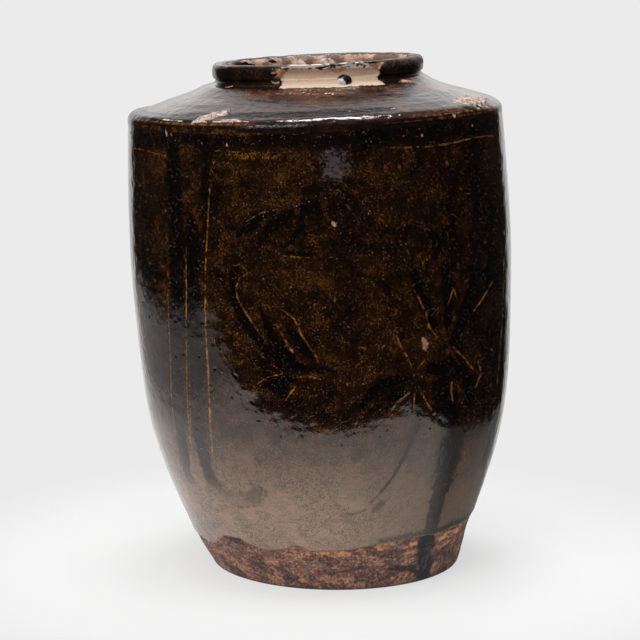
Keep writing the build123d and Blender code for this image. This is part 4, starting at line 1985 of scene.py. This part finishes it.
@dataclass
class Patch:
    """A patch that lies on the jar's surface, thick in its middle and sunk at its edge.

    Args:
        name: the piece's name.
        skin: the surface that it lies on.
        angle: angle of its middle, in degrees.
        along: how far along the outline its middle is, in millimetres.
        across: its size round the jar, in millimetres.
        up: its size along the outline, in millimetres.
        thick: how thick it is, in millimetres.
        lumps: how uneven its thickness is, as a share.
        ragged: how uneven its edge is, as a share.
        seed: picks its unevenness.
        taper: how much narrower its lower end is, as a share.
        slant: how far it leans round the jar for each millimetre up.
        edge_sunk: how deep its edge lies under the surface, in millimetres.
        under: how deep its hidden side lies, in millimetres.
        faces: how many faces its grid has along each side.
    """

    name: str
    skin: Skin
    angle: float
    along: float
    across: float
    up: float
    thick: float
    lumps: float = 0.5
    ragged: float = 0.25
    seed: int = 51
    taper: float = 0.0
    slant: float = 0.0
    edge_sunk: float = 0.35
    under: float = 0.9
    faces: int = 72

    def slab(self) -> bpy.types.Object:
        """Makes a flat closed slab from a grid.

        Returns:
            The slab, whose upper side is at height 0 and whose lower side is at -1.
        """
        all_off()
        bpy.ops.mesh.primitive_grid_add(x_subdivisions=self.faces, y_subdivisions=self.faces, size=2)
        piece = named(self.name)
        bpy.ops.object.mode_set(mode="EDIT")
        bpy.ops.mesh.extrude_region_move(TRANSFORM_OT_translate={"value": (0, 0, -1)})
        bpy.ops.mesh.select_all(action="SELECT")
        bpy.ops.mesh.normals_make_consistent(inside=False)
        bpy.ops.object.mode_set(mode="OBJECT")
        return piece

    def build(self) -> bpy.types.Object:
        """Lays the slab on the surface.

        Returns:
            The patch.
        """
        piece = self.slab()
        flat = vertex_array(piece.data)
        x = flat[:, 0] * np.sqrt(1 - flat[:, 1] ** 2 / 2)
        y = flat[:, 1] * np.sqrt(1 - flat[:, 0] ** 2 / 2)
        out = np.clip(np.hypot(x, y), 0, 1)
        round_edge = np.stack((x / np.maximum(out, 1e-6), y / np.maximum(out, 1e-6), 0 * x), axis=1)
        wander = grains(round_edge, (1.0, self.seed, 0.55), (0.5, self.seed + 1, 0.17))
        reach = 1 + self.ragged * wander * out
        narrow = 1 - self.taper * blend(-y, -1.0, 1.0)
        shift_up = y * reach * self.up / 2
        shift_across = x * reach * narrow * self.across / 2 + shift_up * self.slant
        spot = np.stack((shift_across, shift_up, 0 * x), axis=1)
        uneven = 1 + self.lumps * grains(spot, (1.0, self.seed + 2, 7.0), (0.6, self.seed + 3, 2.4))
        top = self.thick * np.maximum(uneven, 0.1) * np.sqrt(np.clip(1 - out**2.2, 0, 1)) - self.edge_sunk
        lift = np.where(flat[:, 2] > -0.5, top, -self.under)
        along = self.along + shift_up
        angle = self.angle + np.degrees(shift_across / self.skin.outline.at(along)[:, 0])
        move_vertices(piece.data, self.skin.place(angle, along, lift))
        bpy.ops.object.shade_smooth()
        return piece


@dataclass
class KilnScars:
    """What the kiln left on the jar: two crusts, a run of glaze over the foot and a bead in the broken lip.

    Args:
        bead_radius: radius of the bead, in millimetres.
        bead_shares: its size along each direction, as shares of that.
        bead_uneven: how uneven it is, as a share.
        bead_angle: where it hangs round the neck, in degrees.
        bead_out: how far it is from the neck's axis, in millimetres.
        bead_height: its height, in millimetres.
        run_height: height of the run's middle, in millimetres.
    """

    bead_radius: float = 5.4
    bead_shares: tuple[float, float, float] = (1.22, 0.9, 0.98)
    bead_uneven: float = 0.06
    bead_angle: float = 14.1
    bead_out: float = 91.9
    bead_height: float = 443.4
    run_height: float = 30.0

    def crusts(self, crust: bpy.types.Material) -> None:
        """Makes the two crusts, the left one with a strip on the shoulder's edge.

        Args:
            crust: their finish.
        """
        skin = UpperSkin(WHOLE_OUTLINE)
        left = Patch("left_crust", skin, angle=-34.4, along=CORNER_ALONG + 12.5, across=19, up=27, thick=1.8,
                     lumps=0.7, slant=0.65)
        strip = Patch("left_crust_edge", skin, angle=-25.5, along=CORNER_ALONG + 3.5, across=20, up=6,
                      thick=1.1, lumps=0.7, ragged=0.4, seed=56, slant=-0.6)
        right = Patch("right_crust", skin, angle=65.0, along=CORNER_ALONG + 13.0, across=64, up=24, thick=1.2,
                      lumps=0.8, ragged=0.35, seed=61)
        for patch, node in ((left, "left_wad_crust"), (strip, "left_wad_crust"), (right, "right_wad_crust")):
            dress(patch.build(), crust, "kiln_crust", node)

    def run(self, glaze: bpy.types.Material) -> None:
        """Makes the run over the foot.

        Args:
            glaze: its finish.
        """
        middle = WHOLE_OUTLINE.at_height(self.run_height)
        run = Patch("foot_run", FootSkin(WHOLE_OUTLINE), angle=41.2, along=middle, across=15, up=46, thick=1.5,
                    lumps=0.25, ragged=0.16, seed=71, taper=0.2)
        dress(run.build(), glaze, "rim_glaze", "glaze_run")

    def bead(self, glaze: bpy.types.Material) -> None:
        """Makes the bead from a sphere.

        Args:
            glaze: its finish.
        """
        all_off()
        bpy.ops.mesh.primitive_uv_sphere_add(segments=96, ring_count=64, radius=1)
        piece = named("lip_bead")
        ball = vertex_array(piece.data)
        size = self.bead_radius * (1 + self.bead_uneven * Grain(81).at(ball, 0.9))
        turn, out = math.radians(self.bead_angle), self.bead_out
        middle = (NECK_OFFSET + out * math.sin(turn), -out * math.cos(turn), self.bead_height)
        move_vertices(piece.data, AXIS.world(ball * size[:, None] * self.bead_shares + middle))
        bpy.ops.object.shade_smooth()
        dress(piece, glaze, "rim_glaze", "glaze_bead")


@dataclass
class Studio:
    """The floor, the lights, the surroundings and the camera.

    Args:
        pale: how bright the background is, where 1 is white.
        camera_place: where the camera stands, in metres.
        camera_pitch: how far it looks down, in degrees.
        focal_share: its focal length as a share of the picture's width.
        sensor: width of its sensor, in millimetres.
        floor_middle: where the middle of the floor is, in metres, just under the foot.
        floor_size: its width and depth, in metres.
        ambient: how much light the room gives from above and from below.
        dark: how dark the room behind the camera is.
    """

    pale: float = 0.831
    camera_place: tuple[float, float, float] = (-0.011, -1.970, 0.557)
    camera_pitch: float = 9.66
    focal_share: float = 2195 / 640
    sensor: float = 36.0
    floor_middle: tuple[float, float, float] = (-0.37, 0.375, -0.0002)
    floor_size: tuple[float, float] = (1.66, 1.65)
    ambient: tuple[float, float] = (0.30, 0.08)
    dark: float = 0.012

    def camera(self) -> None:
        """Adds the camera."""
        data = bpy.data.cameras.new("camera")
        data.sensor_width = self.sensor
        data.lens = self.sensor * self.focal_share
        camera = bpy.data.objects.new("camera", data)
        camera.location = self.camera_place
        camera.rotation_euler = Euler((math.radians(90 - self.camera_pitch), 0, 0))
        bpy.context.scene.collection.objects.link(camera)
        bpy.context.scene.camera = camera

    def softbox(self, name: str, place: tuple[float, float, float], size: tuple[float, float],
                glow: float, aim: tuple[float, float, float] = (0, 0, 0.25), mirrored: bool = True) -> None:
        """Adds a soft light.

        Args:
            name: its name.
            place: where it hangs, in metres.
            size: its width and height, in metres.
            glow: how bright its face is, where 1 is white.
            aim: the point that it faces.
            mirrored: whether glossy surfaces show it.
        """
        data = bpy.data.lights.new(name, "AREA")
        data.shape = "RECTANGLE"
        data.size, data.size_y = size
        data.energy = math.pi * size[0] * size[1] * glow
        light = bpy.data.objects.new(name, data)
        light.location = place
        light.rotation_euler = (Vector(aim) - Vector(place)).to_track_quat("-Z", "Y").to_euler()
        light.visible_camera = False
        light.visible_glossy = mirrored
        bpy.context.scene.collection.objects.link(light)

    def surroundings(self) -> None:
        """Makes the room: a pale backdrop behind the jar and pale above, dark at the level of the lens."""
        world = bpy.data.worlds.new("room")
        bpy.context.scene.world = world
        bench = NodeBench(world, "Generated")
        seen_by_camera, _, mirror = bench.rays()
        # The way that a ray goes: 0 is level, and 1 is straight back or straight up
        _, depth, height = bench.parts()
        backdrop = depth.step(0.84, 0.90) * (height.step(-0.32, -0.28) * height.step(0.56, 0.50))
        overhead = 0.12 * height.step(0.60, 0.80)
        mirrored = (self.pale * backdrop).most(overhead).most(self.dark)
        above, below = self.ambient
        lit = above * height.step(-0.05, 0.25) + below
        amount = mirror * mirrored + (1.0 - mirror) * lit
        amount = self.pale * seen_by_camera + (1.0 - seen_by_camera) * amount
        shade = bench.tree.nodes["Background"]
        bench.feed(shade.inputs["Color"], (1, 1, 1))
        bench.feed(shade.inputs["Strength"], amount)

    def floor(self) -> None:
        """Lays the pale floor, which fades into the background away from the jar."""
        all_off()
        bpy.ops.mesh.primitive_plane_add(size=1, location=self.floor_middle)
        floor = named("floor")
        bpy.ops.object.mode_set(mode="EDIT")
        bpy.ops.transform.resize(value=(*self.floor_size, 1))
        bpy.ops.mesh.subdivide(number_cuts=3)
        bpy.ops.object.mode_set(mode="OBJECT")
        bpy.ops.object.transform_apply(location=True, rotation=True, scale=True)
        floor.data.materials.append(self.floor_finish())

    def floor_finish(self) -> bpy.types.Material:
        """Makes the floor's finish: it glows as the background does, and gloss sees it end at the sides.

        Returns:
            The material.
        """
        bench = NodeBench(bpy.data.materials.new("floor"))
        seen_by_camera, glossy, mirror = bench.rays()
        bench.finish((0.90, 0.90, 0.90), 1.0)
        bench.feed(bench.shader.inputs["Specular IOR Level"], 0.0)
        lit = Wire(bench, bench.shader.outputs[0])
        glow = bench.wire("ShaderNodeEmission", 0, {"Color": (1, 1, 1), "Strength": self.pale})
        watched = 0.72 * seen_by_camera.most(mirror)
        plain = bench.wire("ShaderNodeMixShader", 0, {0: watched, 1: lit, 2: glow})
        away = bench.wire("ShaderNodeVectorMath", "Value", {0: bench.place}, operation="LENGTH")
        far = away.step(0.20, 0.42) * seen_by_camera
        # Where gloss sees the floor end at the right and fade at the left, in metres
        across, back, _ = bench.parts()
        right = across.step(0.04, 0.18) * (back + 0.25 * across).step(-0.12, 0.0)
        left = 1.0 - across.step(-0.68, -0.40, 0.45, 1.0) * across.step(-1.20, -0.90)
        ended = (0.8 * right).most(left) * glossy
        clear = bench.wire("ShaderNodeBsdfTransparent", 0, {})
        whole = bench.wire("ShaderNodeMixShader", 0, {0: far.most(ended), 1: plain, 2: clear})
        bench.feed(bench.tree.nodes["Material Output"].inputs["Surface"], whole)
        return bench.owner

    def build(self) -> None:
        """Sets the whole scene round the jar."""
        bpy.context.scene.view_settings.view_transform = "Standard"
        self.camera()
        self.surroundings()
        self.floor()
        self.softbox("behind", (0, 1.186, 1.382), (1.5, 0.37), 1.0, (0, -0.1, 0.43))
        self.softbox("behind_low", (0, 1.413, 0.951), (3.0, 0.62), 0.45, (0, -0.1, 0.43))
        self.softbox("overhead", (0.0, -0.30, 1.95), (1.45, 0.62), 9.0, (0.0, -0.1, 0.3), mirrored=False)
        self.softbox("strip", (0.03, 0.49, 1.88), (0.58, 0.33), 23.0, (0.0, -0.16, 0.41))
        self.softbox("key", (-1.0, -1.7, 1.9), (1.2, 1.2), 7.0)


def dress_clay(names: Iterable[str], clay: bpy.types.Material) -> None:
    """Gives CAD nodes a better clay.

    Args:
        names: the nodes.
        clay: the clay.
    """
    for name in names:
        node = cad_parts[name]
        node.data.materials.clear()
        node.data.materials.append(clay)


def main() -> None:
    """Builds the jar's classes in order."""
    logging.basicConfig(level=logging.INFO, format="%(message)s")
    Studio().build()
    glaze = DarkGlaze().build()
    rim_glaze = RimGlaze().build()
    foot_clay = FootClay().build()
    dress_clay(("base_slab",), foot_clay)
    dress_clay(("lower_wall", "upper_wall", "shoulder", "base_coil", "lower_seam_coil", "belly_seam_coil",
                "shoulder_coil", "neck_coil"), BuffClay().build())
    foot, wall, shoulder, neck, scars = Foot(), WallCoat(), Shoulder(), NeckAndRim(), KilnScars()
    foot.dress(foot.build(), foot_clay)
    wall.dress(wall.build(), glaze)
    shoulder.dress(shoulder.build(), ShoulderGlaze().build())
    neck.dress(neck.build(), rim_glaze)
    scars.crusts(KilnCrust().build())
    scars.run(RunGlaze().build())
    # The bead's glaze has a pale lilac painted highlight on its lower left
    scars.bead(RunGlaze("bead_glaze", painted_highlight=(0.62, 0.57, 0.66), highlight_place=(0.0062, -0.0935, 0.4415),
                        highlight_reach=8.0, ior=1.5).build())


if __name__ == "__main__":
    main()
